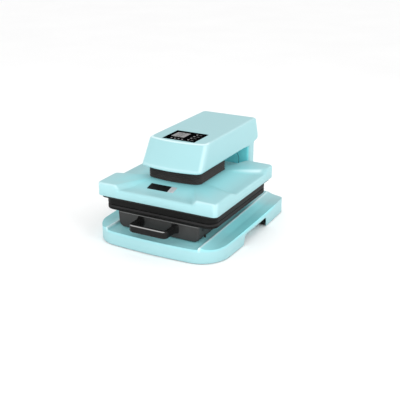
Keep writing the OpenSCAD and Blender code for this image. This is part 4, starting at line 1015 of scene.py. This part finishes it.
labelShape = {"spot": (-0.0101, -0.1702, 0.1796), "slope": 0.249, "length": 0.090, "width": 0.029,
              "thick": 0.0010, "silverEnd": 0.019, "edge": 0.0003, "corner": 0.0012}


def makeGlass():
    gap, half = glassShape["gap"], glassShape["half"]
    plan = (-half + gap, half - gap, glassShape["front"] + gap, glassShape["rear"] - gap)
    slab("display_pane", screenGlass, "frame", ["display_glass"], plan, (glassShape["corner"],) * 4,
         edgeRows(*glassShape["edges"]), segments=5)


def glassMark(name, finish, across, deep, lift, corner):  # shares of the glass from its left and front edges
    lowX, highX = (between(-glassShape["half"], glassShape["half"], share) for share in across)
    lowY, highY = (between(glassShape["front"], glassShape["rear"], share) for share in deep)
    corner = min(corner, min(highX - lowX, highY - lowY) / markShape["cornerPart"])
    base = glassShape["edges"][1] + lift
    rows = [(base, 0.0), (base + markShape["wall"], 0.0), (base + markShape["thick"], markShape["edge"])]
    slab(name, finish, "frame", [], (lowX, highX, lowY, highY), (corner,) * 4, rows, segments=3)


def makeMarks():
    glassMark("screen_field", screenGrey, *markShape["field"], 0.0, markShape["fieldCorner"])
    for text, low, high, width, left in markShape["lines"]:
        for place, digit in enumerate(text):
            start = left + place * width * markShape["digitPitch"]
            for key in markShape["lit"][digit]:
                x0, x1, y0, y1 = markShape["segments"][key]
                glassMark("digit_%s_%d_%s" % (text, place, key), screenGlass,
                          (start + width * x0, start + width * x1), (between(low, high, y0), between(low, high, y1)),
                          markShape["digitLift"], markShape["digitCorner"])
    for index in range(markShape["count"]):
        for name, across, stepX, deep, stepY, corner in markShape["rows"]:
            glassMark("%s_%d" % (name, index), screenMark, [share + stepX * index for share in across],
                      [share + stepY * index for share in deep], 0.0, corner)


def makeLabel():
    tilt = Matrix.Rotation(math.atan(labelShape["slope"]), 3, "X")
    long, wide = labelShape["length"] / 2.0, labelShape["width"] / 2.0
    thick, edge, corner, silverEnd = pick(labelShape, "thick edge corner silverEnd")
    seam = long - silverEnd
    for name, finish, plan, radii, replaced in (
            ("label_field", labelBlack, (-long, seam, -wide, wide), (corner, 0, 0, corner), ["label_plate"]),
            ("label_end", labelSilver, (seam, long, -wide, wide), (0, corner, corner, 0), [])):
        bm = bmesh.new()
        loft(bm, roundedFace(bm, *plan, radii, segments=4), [(0.0, 0.0), (thick - edge, 0.0), (thick, edge)])
        bmesh.ops.rotate(bm, verts=bm.verts[:], cent=(0, 0, 0), matrix=tilt)
        bmesh.ops.translate(bm, verts=bm.verts[:], vec=labelShape["spot"])
        addPiece(bm, name, finish, "platen", replaced)


makeGlass()
makeMarks()
makeLabel()
print("display and label made")


# inner and plain nodes keep the CAD shape and take a finish

plainNodes = (
    (zincSteel, ("base_screws", "column_tube", "column_bolts", "press_plate", "frame_gussets", "head_screws",
                 "motor_bracket", "power_supply", "handle_screws", "platen_screws", "heater_element", "tray_screws",
                 "ram_plate", "ram_bolts", "cover_screws")),
    (brushedSteel, ("rail_pedestals", "fixed_rails", "middle_rails", "drawer_rails", "screw_bearing",
                    "temperature_probe", "standoffs", "guide_rods", "lead_screw", "motor_pinion")),
    (bushBronze, ("guide_bushes", "thrust_washer", "inlet_pins", "lead_nut", "driven_gear")),
    (socketBlack, ("power_inlet", "switch_housing", "limit_switches")),
    (boardGreen, ("control_board", "display_board")), (blackScrew, ("rail_screws", "rear_screws")),
    (panBlack, ("base_pan", "gear_motor")), (footRubber, ("rubber_feet",)), (skyBlueShell, ("rear_panel",)),
    (handleBlack, ("switch_rocker",)), (matFibre, ("insulation_mat",)))
for finish, nodeNames in plainNodes:
    for nodeName in nodeNames:
        skins = cadNodes[nodeName].data.materials
        skins.clear()
        skins.append(finish)
print("plain nodes finished")


# floor

def makeFloor():
    bm = bmesh.new()
    bmesh.ops.create_grid(bm, x_segments=2, y_segments=2, size=studio["floorHalf"])
    mesh = bpy.data.meshes.new("studio_floor")
    bm.to_mesh(mesh)
    bm.free()
    mesh.materials.append(paleFloor)
    floor = bpy.data.objects.new("studio_floor", mesh)
    bpy.context.scene.collection.objects.link(floor)


makeFloor()
